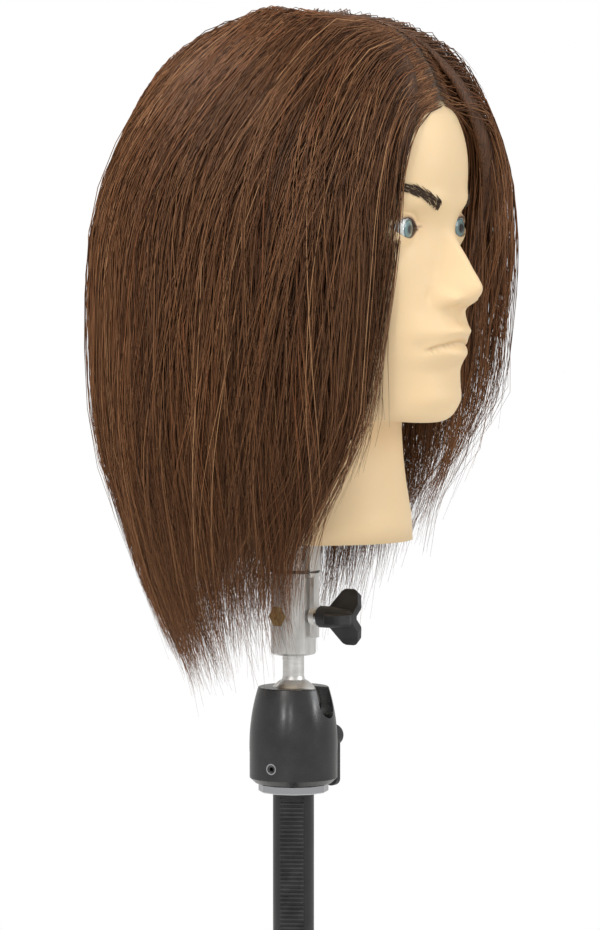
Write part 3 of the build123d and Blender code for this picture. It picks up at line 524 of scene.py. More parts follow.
# angle round from the face, and the height of the hairline there
hairline = {"angle": [0, 15, 30, 45, 58, 68, 78, 92, 108, 130, 160, 180],
            "height": [251, 248, 238, 224, 205, 182, 160, 148, 138, 118, 98, 94]}
browPath = np.array(brow["path"], float)


def browAt(x):
    return np.interp(x, browPath[:, 0], browPath[:, 1]), np.interp(x, browPath[:, 0], brow["thickness"])


def browShade(x, z):
    middle, thick = browAt(x)
    first, last = browPath[0, 0], browPath[-1, 0]
    inside = smoothStep(x, first - 1.5, first + 3) * smoothStep(x, last + 1, last - 5)
    return inside * smoothStep(np.abs(z - middle), thick + 0.8, thick - 1.0)


def hairlineHeight(point):
    angle = np.degrees(np.arctan2(np.abs(point[:, 0]), -(point[:, 1] + 8)))
    return np.interp(angle, hairline["angle"], hairline["height"])


def makeHead():
    points, rows, columns = castHead(fullHead)
    top = np.array([headCentre[0], headCentre[1], head["pole"]])
    bottom = np.array([headCentre[0], headCentre[1], 0.0])
    faces = gridFaces(rows, columns, len(points), len(points) + 1)
    points = np.vstack([points, top, bottom])
    skin = meshObject("headSkin", points, faces)
    x, y, z = np.abs(points[:, 0]), points[:, 1], points[:, 2]
    tone = np.tile(np.array(skinTone["skin"]), (len(points), 1))

    def blend(mask, colour, amount):
        weight = (np.clip(mask, 0, 1) * amount)[:, None]
        tone[:] = tone * (1 - weight) + np.array(colour) * weight

    front = (y < -50).astype(float)
    edge = lidEdge(x, z)
    blend(front * np.exp(-((edge - 1.0) / 3.0) ** 2), skinTone["blush"], 0.5)
    blend(front * smoothStep(edge, -3.4, -1.2) * (z > eyeLine + 0.5), skinTone["lid"], 0.55)
    blend(front * smoothStep(edge, -1.9, -0.7) * (z > eyeLine + 1), skinTone["paint"], 0.92)
    blend(front * smoothStep(edge, -1.0, -0.2), skinTone["paint"], 0.85)
    blend(front * browShade(x, z), skinTone["brow"], 0.45)
    blend(smoothStep(z - hairlineHeight(points), -3.5, 1.5), skinTone["scalp"], 0.97)
    layer = skin.data.color_attributes.new("paint", "FLOAT_COLOR", "POINT")
    layer.data.foreach_set("color", np.hstack([tone, np.ones((len(tone), 1))]).astype(np.float32).ravel())
    vinyl = newMaterial("vinylSkin", subsurface=0.12, subsurfaceScale=0.006,
                        subsurfaceRadius=(1.0, 0.45, 0.2), specular=0.35)
    paint = addNode(vinyl, "ShaderNodeAttribute", attribute_name="paint")
    patch = objectNoise(vinyl, 28.0, 2.0)
    patch = colourRamp(vinyl, patch, [(0.0, (0.955, 0.945, 0.93)), (1.0, (1.0, 1.0, 1.0))])
    connect(vinyl, multiplyColours(vinyl, paint.outputs["Color"], patch, 1.0), "Base Color")
    roughen(vinyl, 0.42, 0.56, 160.0)
    grain(vinyl, 700.0, 0.07, 0.0004)
    skin.data.materials.append(vinyl)
    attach(skin, "head")
    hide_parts("head_shell")
    return skin, points


skin, skinPoints = makeHead()
print("head skin made", len(skin.data.polygons))


# eyes
def eyeEnamel(side, sideName):
    glass = newMaterial("eye" + sideName + "Enamel", roughness=0.12, coat=0.6, coatRoughness=0.04)
    place = addNode(glass, "ShaderNodeTexCoord")
    across, height = side * (eyeCentre.x - eye["gazeIn"]), neckBase + eyeLine - eye["gazeDown"]
    look = Vector((across, eyeCentre.y, height)) * mm
    local = addNode(glass, "ShaderNodeMapping", {"Vector": place.outputs["Object"], "Location": -look})
    apart = addNode(glass, "ShaderNodeSeparateXYZ", {"Vector": local.outputs["Vector"]})
    flat = addNode(glass, "ShaderNodeCombineXYZ", {"X": apart.outputs["X"], "Z": apart.outputs["Z"]})
    length = addNode(glass, "ShaderNodeVectorMath", {0: flat.outputs["Vector"]}, operation="LENGTH")
    scaled = addNode(glass, "ShaderNodeMapRange", {"Value": length.outputs["Value"], "From Min": 0.0,
                                                   "From Max": 10 * mm, "To Min": 0.0, "To Max": 1.0})
    pupil, iris = eye["pupilRadius"] / 10, eye["irisRadius"] / 10  # the ramp spans 10 mm
    rings = colourRamp(glass, scaled.outputs["Result"], [
        (0.0, (0.01, 0.01, 0.012)), (pupil - 0.01, (0.012, 0.012, 0.014)),
        (pupil + 0.03, (0.10, 0.15, 0.14)), (iris - 0.12, (0.20, 0.32, 0.32)),
        (iris - 0.02, (0.06, 0.13, 0.15)), (iris + 0.03, (0.72, 0.74, 0.72))])
    fibre = objectNoise(glass, 900.0, 3.0, stretch=(1, 0.1, 1))
    fibre = colourRamp(glass, fibre, [(0.0, (0.8, 0.8, 0.8)), (1.0, (1.0, 1.0, 1.0))])
    connect(glass, multiplyColours(glass, rings, fibre, 0.6), "Base Color")
    return glass


def makeEye(side, node):
    # rings of points from the cornea to the back, with one point at each pole
    rings, spokes, sideName = eye["rings"], eye["spokes"], "Left" if side > 0 else "Right"
    turn = np.linspace(0, 2 * math.pi, spokes, endpoint=False)
    points = [(0.0, -eye["radius"] - eye["corneaHeight"], 0.0)]
    for ring in range(1, rings):
        polar = math.pi * ring / rings
        bulge = eye["radius"] + eye["corneaHeight"] * math.exp(-((polar / eye["corneaAngle"]) ** 4))
        for angle in turn:
            points.append((bulge * math.sin(polar) * math.cos(angle), -bulge * math.cos(polar),
                           bulge * math.sin(polar) * math.sin(angle)))
    points.append((0.0, eye["radius"], 0.0))
    faces = [(0, 1 + k, 1 + (k + 1) % spokes) for k in range(spokes)]
    for ring in range(rings - 2):
        base = 1 + ring * spokes
        faces += [(base + k, base + spokes + k, base + spokes + (k + 1) % spokes, base + (k + 1) % spokes)
                  for k in range(spokes)]
    last, base = len(points) - 1, 1 + (rings - 2) * spokes
    faces += [(base + k, last, base + (k + 1) % spokes) for k in range(spokes)]
    centre = np.array([side * eyeCentre.x, eyeCentre.y + eye["setBack"], eyeLine])
    ball = meshObject("eye" + sideName, np.array(points) + centre, faces)
    ball.data.materials.append(eyeEnamel(side, sideName))
    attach(ball, "head")
    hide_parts(node)


makeEye(-1, "eye_right")
makeEye(1, "eye_left")
print("eyes made")

# foam that fills the skin
foam = {"inset": 6.5, "floor": 9.5, "floorRound": 2.0, "socketRadius": 19.0, "socketTop": 47.0,
        "socketFlare": 0.32, "socketBack": 1.5, "pole": 288.0, "coarse": 3.0}


def foamField(point):
    x, y, z = np.abs(point[:, 0]), point[:, 1], point[:, 2]
    form = plainHead(point) + foam["inset"]
    form = smoothMax(form, foam["floor"] - z, foam["floorRound"])
    bore = foam["socketRadius"] + foam["socketFlare"] * (foam["socketTop"] - z)
    form = np.maximum(form, np.minimum(bore - np.hypot(x, y + foam["socketBack"]), foam["socketTop"] - z))
    return np.maximum(form, eye["radius"] + eye["clearance"] - eyeReach(x, y, z))


def makeFoam():
    points, rows, columns = castHead(foamField, foam["coarse"])
    crown = np.array([headCentre[0], headCentre[1], foam["pole"]])
    floor = np.array([headCentre[0], headCentre[1], foam["socketTop"]])
    faces = gridFaces(rows, columns, len(points), len(points) + 1)
    core = meshObject("foamFilling", np.vstack([points, crown, floor]), faces)
    cells = newMaterial("whiteFoam", roughness=0.9)
    mottle(cells, (0.72, 0.68, 0.55), (0.82, 0.78, 0.66), 120.0)
    grain(cells, 900.0, 0.4, 0.0006)
    core.data.materials.append(cells)
    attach(core, "head")
    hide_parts("foam_core")


makeFoam()
print("foam filling made")


# strands, grown by one node tree from rows of points
def strandTree(name, shades):
    tree = bpy.data.node_groups.new(name, "GeometryNodeTree")
    tree.interface.new_socket("Geometry", in_out="INPUT", socket_type="NodeSocketGeometry")
    thickness = tree.interface.new_socket("Thickness", in_out="INPUT", socket_type="NodeSocketFloat")
    sides = tree.interface.new_socket("Sides", in_out="INPUT", socket_type="NodeSocketInt")
    tree.interface.new_socket("Geometry", in_out="OUTPUT", socket_type="NodeSocketGeometry")
    newNode, link = tree.nodes.new, tree.links.new

    def readPoints(label):
        attribute = newNode("GeometryNodeInputNamedAttribute")
        attribute.data_type = "FLOAT"
        attribute.inputs["Name"].default_value = label
        return attribute.outputs["Attribute"]

    start, end = newNode("NodeGroupInput"), newNode("NodeGroupOutput")
    toCurve = newNode("GeometryNodeMeshToCurve")
    link(start.outputs["Geometry"], toCurve.inputs[0])
    scaled = newNode("ShaderNodeMath")
    scaled.operation = "MULTIPLY"
    link(readPoints("width"), scaled.inputs[0])
    link(start.outputs["Thickness"], scaled.inputs[1])
    radius = newNode("GeometryNodeSetCurveRadius")
    link(toCurve.outputs[0], radius.inputs["Curve"])
    link(scaled.outputs[0], radius.inputs["Radius"])
    profile = newNode("GeometryNodeCurvePrimitiveCircle")
    profile.inputs["Radius"].default_value = 1.0
    link(start.outputs["Sides"], profile.inputs["Resolution"])
    grow = newNode("GeometryNodeCurveToMesh")
    link(radius.outputs["Curve"], grow.inputs["Curve"])
    link(profile.outputs["Curve"], grow.inputs["Profile Curve"])
    grow.inputs["Fill Caps"].default_value = True
    if "Scale" in grow.inputs:
        link(scaled.outputs[0], grow.inputs["Scale"])
    realize = newNode("GeometryNodeRealizeInstances")
    link(grow.outputs["Mesh"], realize.inputs["Geometry"])
    shade = readPoints("shade")
    out = realize.outputs["Geometry"]
    for k, material in enumerate(shades):
        paint = newNode("GeometryNodeSetMaterial")
        paint.inputs["Material"].default_value = material
        if k:
            over = newNode("FunctionNodeCompare")
            over.operation = "GREATER_THAN"
            link(shade, over.inputs[0])
            over.inputs[1].default_value = k - 0.5
            link(over.outputs["Result"], paint.inputs["Selection"])
        link(out, paint.inputs["Geometry"])
        out = paint.outputs["Geometry"]
    link(out, end.inputs["Geometry"])
    return tree, thickness.identifier, sides.identifier


def growStrands(name, lines, width, shade, tree, thickness):
    # lines is strands x points x 3, width the same without the 3, shade one number a strand
    count, length = lines.shape[:2]
    index = np.arange(count * length).reshape(count, length)
    edges = np.stack([index[:, :-1], index[:, 1:]], -1).reshape(-1, 2)
    guides = bpy.data.meshes.new(name + "Guides")
    guides.vertices.add(count * length)
    guides.edges.add(len(edges))
    guides.vertices.foreach_set("co", inFrame(lines.reshape(-1, 3)).astype(np.float32).ravel())
    guides.edges.foreach_set("vertices", edges.astype(np.int32).ravel())
    for label, values in (("width", width), ("shade", np.repeat(shade, length))):
        layer = guides.attributes.new(label, "FLOAT", "POINT")
        layer.data.foreach_set("value", np.asarray(values, np.float32).ravel())
    holder = bpy.data.objects.new(name + "Guides", guides)
    scene.collection.objects.link(holder)
    modifier = holder.modifiers.new("grow", "NODES")
    modifier.node_group, thicknessInput, sidesInput = tree
    modifier[thicknessInput] = thickness * mm
    modifier[sidesInput] = 3
    graph = bpy.context.evaluated_depsgraph_get()
    mesh = bpy.data.meshes.new_from_object(holder.evaluated_get(graph))
    for label in ("width", "shade"):
        if label in mesh.attributes:
            mesh.attributes.remove(mesh.attributes[label])
    mesh.name = name
    mesh.polygons.foreach_set("use_smooth", [True] * len(mesh.polygons))
    bpy.data.objects.remove(holder)
    bpy.data.meshes.remove(guides)
    made = bpy.data.objects.new(name, mesh)
    scene.collection.objects.link(made)
    return made


# hair
hair = {
    "strands": 19600, "points": 14, "thickness": 0.27, "seed": 11, "shortest": 25, "pieceStrands": 2250,
    "axisY": -8.0, "middle": -4.0, "centreHeight": 190.0,
    # height, half width, reach to the front, reach to the back of the outer form
    "envelope": [
        (-90, 52, 52, 60), (-70.5, 60, 60, 68), (-50.5, 67, 66, 76), (-30.5, 77, 76, 86), (-4.5, 86, 86, 96),
        (21.5, 93, 98, 105), (39.5, 98, 108, 112), (79.5, 103, 117, 119), (121.5, 104, 119, 121),
        (178.5, 102, 120, 119), (201.5, 98, 118, 114), (213.5, 95, 116, 110), (236.5, 87, 110, 101),
        (259.5, 76, 102, 89), (273.5, 67.5, 95, 79), (288.5, 56, 82, 64), (297.5, 46.5, 70, 54),
        (306, 35, 52, 42), (311, 25, 38, 31), (315, 14, 22, 18), (318, 6, 9, 8),
    ],
    "capHeight": 316.5, "capRound": 3.0, "power": 2.35, "leftFrontPower": 3.2,
    "crownRadius": 100.0,  # millimetres over the crown for one radian
    "downEnd": 461, "downStep": 4.0, "aroundStep": 3.0,  # grid on which both forms' reach is kept
    "scalpGap": 0.8, "edgeSpan": {-1: 34, 1: 14}, "edgeLeast": 0.12, "edgeGain": 0.90,
    # angle round from the face where the hair ends, by height
    "edgeHeight": [-20, 5, 16, 34, 50, 80, 126, 160, 195, 213, 240, 262],
    "edgeAngle": [62, 58, 54, 46, 40, 31, 27, 23.5, 20.5, 16.5, 8, 1],
    # height of the ends, by angle round from the face
    "endAngle": [25, 40, 50, 60, 72, 82, 108, 130, 180],
    "endHeight": [44, 30, 18, -8, -22, -40, -68, -70, -62],
}
# colours of the strands, and how many of the strands have each
hairColours = [(0.055, 0.022, 0.009), (0.11, 0.046, 0.019), (0.17, 0.074, 0.031), (0.24, 0.109, 0.047),
               (0.32, 0.155, 0.068), (0.44, 0.24, 0.115), (0.25, 0.095, 0.038)]
shadeShare = [0.13, 0.24, 0.28, 0.19, 0.08, 0.02, 0.06]
roots = {
    "batch": 6000, "below": 95, "thinning": 6.0, "ringLeast": 0.12, "hairlineSlack": 2.0,
    "parting": 2.4, "partingWidth": 14, "partingHeight": 190,
    "front": {-1: 3.6, 1: 5.0}, "frontAngle": 1.1, "frontHeight": 222,
}
comb = {
    "step": 6.0, "steps": 105, "flyaways": 0.05, "flyawayLevel": (1.0, 1.12),
    # how far down from the crown the hairline lies, by angle
    "hairlineAngle": [0, 30, 60, 90, 130, 180], "hairlineDown": [95, 105, 140, 190, 235, 250],
    "fringeAngle": 70, "fringeDown": 120, "evenShare": {-1: 0.4, 1: 0.65}, "edgeSpread": 0.34,
    "endSpread": 7, "endTail": 46, "endShift": {-1: -10, 1: 6}, "endLongest": 190, "endInstead": 90,
    "layerShare": 0.42, "layerCut": (10, 150), "leftFrontCut": 20,
    "fullLevel": 0.97, "rise": {"fringe": 30, "other": 50}, "lateRise": (70, 180), "edgeLength": (15, 70),
    "guard": 2.6, "pointShare": 1.25,
}
lock = {
    "count": 620, "gather": 0.92, "gatherCurve": 2.1, "heightShare": 0.5, "farthest": 12.0,
    "waver": 2.6, "waves": 7.0, "ownWaver": 0.7, "ownWaves": 9.0,
    "flare": 9.0, "ownFlare": 1.5, "flareCurve": 3.2, "kick": 0.45, "kickCurve": 3.5, "kickLimits": (-3, 5),
}
sides = ((-1, "Right"), (1, "Left"))
crownRadius = hair["crownRadius"]
crownArc = crownRadius * math.pi / 2
envelopeCurves = [smoothCurve(hair["envelope"], k) for k in (1, 2, 3)]


def envelopeField(point):
    x, y, z = point[:, 0], point[:, 1], point[:, 2]
    half, front, back = (curve(z) for curve in envelopeCurves)
    middle = hair["middle"]
    power = np.where((x > 0) & (y < middle), hair["leftFrontPower"], hair["power"])
    form = section(np.abs(x), y, half, middle, middle - front, middle + back, power)
    return smoothMax(form, z - hair["capHeight"], hair["capRound"])


def capsulePoint(down, around, side, reach):
    # down is millimetres over the crown and down the side, around the angle from the face, in radians
    tilt = np.minimum(down / crownRadius, math.pi / 2)
    drop = np.maximum(down - crownArc, 0)
    return np.stack([side * np.sin(tilt) * np.sin(around) * reach,
                     hair["axisY"] - np.sin(tilt) * np.cos(around) * reach,
                     hair["centreHeight"] + np.cos(tilt) * reach - drop], -1)


def capsulePlace(point):
    x, y, z = point[..., 0], point[..., 1] - hair["axisY"], point[..., 2] - hair["centreHeight"]
    across = np.hypot(x, y)
    around = np.arctan2(np.abs(x), -y)
    down = np.where(z > 0, crownRadius * np.arctan2(across, np.maximum(z, 1e-6)), crownArc - z)
    return down, around, np.where(z > 0, np.hypot(across, z), across)


downSteps = np.arange(0, hair["downEnd"], hair["downStep"])
aroundSteps = np.radians(np.arange(0, 181, hair["aroundStep"]))


def reachTable(field, side):
    down, around = (grid.ravel() for grid in np.meshgrid(downSteps, aroundSteps, indexing="ij"))
    reach = surfaceReach(lambda far: field(capsulePoint(down, around, side, far)), len(down), 2.0, 220.0, 16)
    return reach.reshape(len(downSteps), len(aroundSteps))


def readTable(table, down, around):
    row = np.clip(down / hair["downStep"], 0, len(downSteps) - 1.001)
    column = np.clip(np.degrees(around) / hair["aroundStep"], 0, len(aroundSteps) - 1.001)
    i, j = row.astype(int), column.astype(int)
    a, b = row - i, column - j
    return ((table[i, j] * (1 - b) + table[i, j + 1] * b) * (1 - a)
            + (table[i + 1, j] * (1 - b) + table[i + 1, j + 1] * b) * a)


innerReach, outerReach = {}, {}
for side, _ in sides:
    outerReach[side] = reachTable(envelopeField, side)
    close = reachTable(plainHead, side) + hair["scalpGap"]
    below = downSteps > crownArc
    # hair hangs straight past the neck
    hung = np.maximum.accumulate(np.where(below[:, None], close, 0), axis=0)
    close = np.where(below[:, None], hung, close)
    innerReach[side] = np.minimum(close, np.maximum(outerReach[side] - 3.0, 4.0))


def heightOf(down, reach):
    return capsulePoint(down, 0.0, 1, reach)[..., 2]


def edgeAngle(z):
    return np.radians(np.interp(z, hair["edgeHeight"], hair["edgeAngle"]))


def edgeTaper(z, around, side):
    span = math.radians(hair["edgeSpan"][side])
    return hair["edgeLeast"] + hair["edgeGain"] * smoothStep((around - edgeAngle(z)) / span, 0.0, 1.0)


def endHeight(around):
    return np.interp(np.degrees(around), hair["endAngle"], hair["endHeight"])


def plantRoots(side, count, random):
    found, batch = [], roots["batch"]
    while sum(len(part) for part in found) < count:
        down = random.uniform(0, crownArc + roots["below"], batch)
        around = random.uniform(0, math.pi, batch)
        ring = np.where(down < crownArc, np.sin(np.minimum(down / crownRadius, math.pi / 2)), 1.0)
        place = capsulePoint(down, around, side, readTable(innerReach[side], down, around))
        parting = np.exp(-((place[:, 0] / roots["partingWidth"]) ** 2))
        parting = parting * (place[:, 2] > roots["partingHeight"])
        front = (around < roots["frontAngle"]) * (place[:, 2] > roots["frontHeight"])
        extra = 1 + roots["parting"] * parting + roots["front"][side] * front
        keep = random.uniform(0, roots["thinning"], batch) < (ring + roots["ringLeast"]) * extra
        keep &= place[:, 2] > hairlineHeight(place) - roots["hairlineSlack"]
        found.append(np.stack([down, around], -1)[keep])
    return np.concatenate(found)[:count]


def strandLevels(side, down, around, fringe, random):
    # how far out each strand lies, 0 at the head to 1 at the outer form, and its setback from the face
    count = len(down)
    hairlineDown = np.interp(np.degrees(around), comb["hairlineAngle"], comb["hairlineDown"])
    depth = np.clip(1 - down / hairlineDown, 0, 1) ** 0.75
    ridge = 0.09 * np.sin(around * 27 + down / 8) + 0.07 * np.sin(around * 49 - down / 14)
    level = np.clip(0.14 + 0.80 * depth + ridge + random.normal(0, 0.07, count), 0.03, 1.0)
    evenly = random.uniform(0.05, 1.0, count)
    level = np.where(fringe & (random.uniform(0, 1, count) < comb["evenShare"][side]), evenly, level)
    setback = comb["edgeSpread"] * random.uniform(0, 1, count) ** 1.4
    loose = random.uniform(0, 1, count) < comb["flyaways"]
    return np.where(loose, random.uniform(*comb["flyawayLevel"], count), level), setback


def strandEndings(side, down, around, level, random):
    # how much above the lowest ends each strand is cut
    count = len(down)
    ending = random.normal(0, comb["endSpread"], count) + random.exponential(comb["endTail"], count)
    ending = ending + comb["endShift"][side]
    ending = np.where(ending > comb["endLongest"], random.uniform(0, comb["endInstead"], count), ending)
    ending = ending + 12 * np.sin(around * 31 + down / 6) + 8 * np.sin(around * 57 - down / 11)
    layer = random.uniform(0, 1, count) < comb["layerShare"]
    ending = ending + layer * random.uniform(*comb["layerCut"], count) * (0.35 + 0.65 * level)
    return ending + comb["leftFrontCut"] * (np.degrees(around) < comb["fringeAngle"]) * (side > 0)


def combDirection(point, side, setback, sweep):
    # down, away from the parting, backwards over the crown, and round the head near the face
    _, around, _ = capsulePlace(point)
    radial = point - np.array([0, hair["axisY"], 0])
    radial[:, 2] = np.where(point[:, 2] > hair["centreHeight"], point[:, 2] - hair["centreHeight"], 0)
    radial /= np.linalg.norm(radial, axis=1)[:, None] + 1e-9
    drive = np.zeros(point.shape)
    drive[:, 2] = -1.0
    crown = np.exp(-((point[:, 0] / 42) ** 2)) * smoothStep(point[:, 2], 200, 255)
    behind = smoothStep(point[:, 1], 20, 70)
    drive[:, 0] += side * crown * (1.5 - 0.9 * behind)
    drive[:, 1] += 0.30 * smoothStep(point[:, 2], 170, 250) + 0.25 * behind * crown
    turnWay = np.stack([side * np.cos(around), np.sin(around), np.zeros(len(point))], -1)
    guard = smoothStep(edgeAngle(point[:, 2]) + setback + 0.08 - around, 0.0, 0.2)
    drive += turnWay * (comb["guard"] * guard + sweep)[:, None]
    drive -= radial * (drive * radial).sum(1)[:, None]
    return drive / (np.linalg.norm(drive, axis=1)[:, None] + 1e-9)


def combStrands(side, count, random):
    down, around = plantRoots(side, count, random).T
    fringe = (around < math.radians(comb["fringeAngle"])) & (down < comb["fringeDown"])
    level, setback = strandLevels(side, down, around, fringe, random)
    ending = strandEndings(side, down, around, level, random)
    point = capsulePoint(down, around, side, readTable(innerReach[side], down, around))
    sweep = 0.10 + 0.13 * np.sin(around * 9 + down / 21 + side) + 0.09 * np.sin(around * 23 - down / 9)
    sweep = sweep + random.normal(0, 0.05, count)
    rise = np.where(fringe, comb["rise"]["fringe"], comb["rise"]["other"])
    full, live, length = comb["fullLevel"], np.ones(count, bool), np.zeros(count)
    step, path = comb["step"], [point]
    for _ in range(comb["steps"]):
        moved = point + combDirection(point, side, setback, sweep) * step
        down, around, _ = capsulePlace(moved)
        around = np.maximum(around, edgeAngle(moved[:, 2]) * smoothStep(length, *comb["edgeLength"]))
        inner = readTable(innerReach[side], down, around)
        outer = readTable(outerReach[side], down, around)
        rising = np.minimum(level, full) * smoothStep(length, 0, rise)
        rising = rising + np.maximum(level - full, 0) * smoothStep(length, *comb["lateRise"])
        lift = rising * edgeTaper(moved[:, 2], around, side)
        moved = capsulePoint(down, around, side, inner + lift * (outer - inner))
        live &= moved[:, 2] > endHeight(around) + ending
        point = np.where(live[:, None], moved, point)
        length = np.where(live, length + step, length)
        path.append(point)
    path = np.stack(path, 1)
    share = np.linspace(0, 1, hair["points"]) ** comb["pointShare"]
    place = (length / step)[:, None] * share
    low = np.clip(place.astype(int), 0, path.shape[1] - 2)
    part = (place - low)[..., None]
    rows = np.arange(count)[:, None]
    return path[rows, low] * (1 - part) + path[rows, low + 1] * part, length


def gatherLocks(lines, random, count):
    # strands draw together into locks towards their ends, and each lock waves and flares its own way
    middle = lines[:, hair["points"] // 2]
    centres = random.choice(len(lines), count, replace=False)
    group = np.empty(len(lines), int)
    for start in range(0, len(lines), 2000):
        apart = ((middle[start:start + 2000, None] - middle[None, centres]) ** 2).sum(-1)
        group[start:start + 2000] = np.argmin(apart, 1)
    share = np.linspace(0, 1, hair["points"])
    pull = lock["gather"] * share ** lock["gatherCurve"] * random.uniform(0.4, 1.0, (len(lines), 1))
    drawn = lines[centres[group]] - lines
    drawn[..., 2] *= lock["heightShare"]
    reach = np.linalg.norm(drawn, axis=-1, keepdims=True)
    drawn *= np.minimum(1.0, lock["farthest"] / (reach + 1e-6))
    lines = lines + drawn * pull[..., None]
    phase = random.uniform(0, 6.28, (count + 1, 2))
    own = random.uniform(0, 6.28, (len(lines), 2))
    wave = np.sin(phase[group, :1] + share * lock["waves"]) * share * lock["waver"]
    wave = wave + np.sin(own[:, :1] + share * lock["ownWaves"]) * share * lock["ownWaver"]
    bend = random.normal(0, lock["flare"], (count + 1, 1))[group]
    bend = bend + random.normal(0, lock["ownFlare"], (len(lines), 1))
    wave = wave + bend * share ** lock["flareCurve"]
    outward = np.stack([lines[..., 0], lines[..., 1] - hair["axisY"]], -1)
    outward /= np.linalg.norm(outward, axis=-1, keepdims=True) + 1e-6
    across = np.stack([-outward[..., 1], outward[..., 0]], -1)
    kick = random.normal(0, lock["kick"] * lock["flare"], (count + 1, 1))[group] * share ** lock["kickCurve"]
    lines[..., :2] += across * wave[..., None] + outward * np.clip(kick, *lock["kickLimits"])[..., None]
    return lines, group


def makeHair():
    random = np.random.default_rng(hair["seed"])
    shades = [newMaterial("hairShade" + str(k + 1), colour=colour, roughness=0.42, specular=0.28)
              for k, colour in enumerate(hairColours)]
    tree = strandTree("growStrands", shades)
    share = np.linspace(0, 1, hair["points"])
    taper = np.where(share < 0.12, 0.75 + 2 * share, 1 - 0.82 * np.clip((share - 0.55) / 0.45, 0, 1) ** 1.4)
    ladder = np.cumsum(shadeShare) / np.sum(shadeShare)
    total = 0
    for side, sideName in sides:
        lines, length = combStrands(side, hair["strands"] // 2, random)
        lines, group = gatherLocks(lines[length > hair["shortest"]], random, lock["count"] // 2)
        width = taper[None] * random.uniform(0.7, 1.25, (len(lines), 1))
        lean = random.normal(0, 0.8, group.max() + 1)[group]
        mixed = np.clip(random.uniform(0.08, 0.92, len(lines)) + 0.15 * lean, 0, 0.999)
        shade = np.searchsorted(ladder, mixed)
        root = lines[:, 0]
        _, around, _ = capsulePlace(root)
        top, ahead = root[:, 2] > 238, np.degrees(around) < 100
        regions = {"Top": top, "Side": ~top & ahead, "Back": ~top & ~ahead}
        for region, belongs in regions.items():
            chosen = np.flatnonzero(belongs)
            parts = max(1, math.ceil(len(chosen) / hair["pieceStrands"]))
            for k, picked in enumerate(np.array_split(chosen, parts)):
                name = "hair" + region + sideName + ("ABCDEFGH"[k] if parts > 1 else "")
                piece = growStrands(name, lines[picked], width[picked], shade[picked], tree,
                                    hair["thickness"])
                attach(piece, "head")
                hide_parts("hair_" + region.lower() + "_" + sideName.lower())
                piece.data.calc_loop_triangles()
                total += len(piece.data.loop_triangles)
                print(name, len(picked), "strands", len(piece.data.loop_triangles), "triangles")
    print("hair triangles", total)


undercoat = {
    "columns": 46, "firstDown": 6, "sideDown": 150, "lastDown": 400,
    "edgeBack": {-1: 10, 1: 9}, "endLift": 92,
    "height": 0.56, "leftHeight": 0.18, "leftTuck": 0.78, "outerGap": 0.4, "innerGap": 1.2,
}


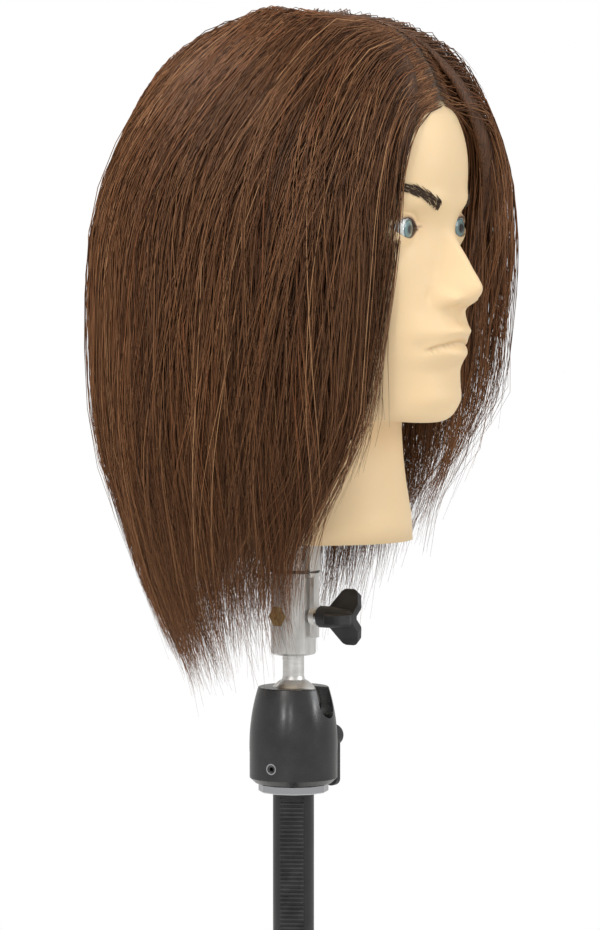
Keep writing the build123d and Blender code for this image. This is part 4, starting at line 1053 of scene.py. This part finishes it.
def makeUndercoat():
    coat = newMaterial("hairUndercoat", roughness=0.55, specular=0.3)
    mottle(coat, (0.034, 0.015, 0.007), (0.13, 0.057, 0.026), 1300.0, stretch=(1, 1, 0.02))
    grain(coat, 420.0, 0.7, 0.0012, stretch=(1, 1, 0.05))
    downs = np.concatenate([np.arange(undercoat["firstDown"], undercoat["sideDown"], 5.0),
                            np.linspace(undercoat["sideDown"] + 2, undercoat["lastDown"], 50)])
    shares = np.linspace(0, 1, undercoat["columns"])
    for side, sideName in sides:
        outer, inner = [], []
        for down in downs:
            z = heightOf(np.full(1, down), np.full(1, 105.0))[0]
            first = float(edgeAngle(np.array([z]))[0]) + math.radians(undercoat["edgeBack"][side])
            around = first + (math.pi - first) * shares
            lowest = endHeight(around) + undercoat["endLift"]
            depth = np.minimum(np.full(len(around), down), crownArc + hair["centreHeight"] - lowest)
            inside = readTable(innerReach[side], depth, around)
            outside = readTable(outerReach[side], depth, around)
            place = heightOf(depth, inside)
            full, tuck = undercoat["height"], 0.0
            if side > 0:
                full = full + undercoat["leftHeight"] * smoothStep(around, 1.6, 0.9)
                tuck = undercoat["leftTuck"] * smoothStep(around, 1.7, 1.0) * smoothStep(depth, 25, 90)
            rise = full * smoothStep(depth, 25, 110) * edgeTaper(place, around, side)
            rise = rise * (0.15 + 0.85 * smoothStep(place - lowest, 0, 90)) * (outside - inside)
            outer.append(capsulePoint(depth, around, side, inside + rise - undercoat["outerGap"]))
            inner.append(capsulePoint(depth, around, side, inside + tuck * rise - undercoat["innerGap"]))
        outer, inner = np.array(outer), np.array(inner)
        rows, columns = outer.shape[:2]
        points = np.concatenate([outer.reshape(-1, 3), inner.reshape(-1, 3)])
        index = np.arange(rows * columns).reshape(rows, columns)
        front = np.stack([index[:-1, :-1], index[1:, :-1], index[1:, 1:], index[:-1, 1:]], -1).reshape(-1, 4)
        border = np.concatenate([index[0, :-1], index[:-1, -1], index[-1, :0:-1], index[:0:-1, 0]])
        after = np.roll(border, -1)
        behind = front[:, ::-1] + rows * columns
        rim = np.stack([border, after, after + rows * columns, border + rows * columns], -1)
        faces = np.concatenate([front, behind, rim])
        if side > 0:
            faces = faces[:, ::-1]
        piece = meshObject("hairUndercoat" + sideName, points, faces.tolist())
        piece.data.materials.append(coat)
        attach(piece, "head")
        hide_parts("hair_side_" + sideName.lower(), "hair_back_" + sideName.lower())


def makeBrows():
    random = np.random.default_rng(brow["seed"])
    ink = newMaterial("browHair", colour=brow["hairColour"], roughness=0.5, specular=0.2)
    tree = strandTree("growBrows", [ink])
    share, count = np.linspace(0, 1, brow["hairPoints"]), brow["hairs"]
    first, last = browPath[0, 0], browPath[-1, 0]
    for side, sideName in sides:
        x, z = skinPoints[:, 0] * side, skinPoints[:, 2]
        near = skinPoints[(skinPoints[:, 1] < -50) & (x > 5) & (x < 60) & (z > 180) & (z < 220)]
        x = random.uniform(first - 1, last - 2, count)
        middle, thick = browAt(x)
        z = middle + random.uniform(-0.95, 0.75, count) * thick
        lean = np.radians(np.interp(x, [first, last], brow["lean"]) + random.normal(0, 7, count))
        length = random.uniform(*brow["hairLength"], count)
        across = x[:, None] + (np.cos(lean) * length)[:, None] * share
        upright = z[:, None] + (np.sin(lean) * length)[:, None] * share
        gap = (across.ravel()[:, None] - near[:, 0] * side) ** 2
        gap = gap + (upright.ravel()[:, None] - near[:, 2]) ** 2
        depth = near[np.argmin(gap, 1), 1].reshape(count, -1) - 0.15 - 0.35 * np.sin(math.pi * share)
        lines = np.stack([side * across, depth, upright], -1)
        width = (1 - 0.75 * share ** 2)[None] * random.uniform(0.8, 1.2, (count, 1))
        piece = growStrands("brow" + sideName, lines, width, np.zeros(count), tree, brow["hairThickness"])
        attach(piece, "head")
        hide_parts("head_shell")


makeHair()
makeUndercoat()
makeBrows()
print("hair made")
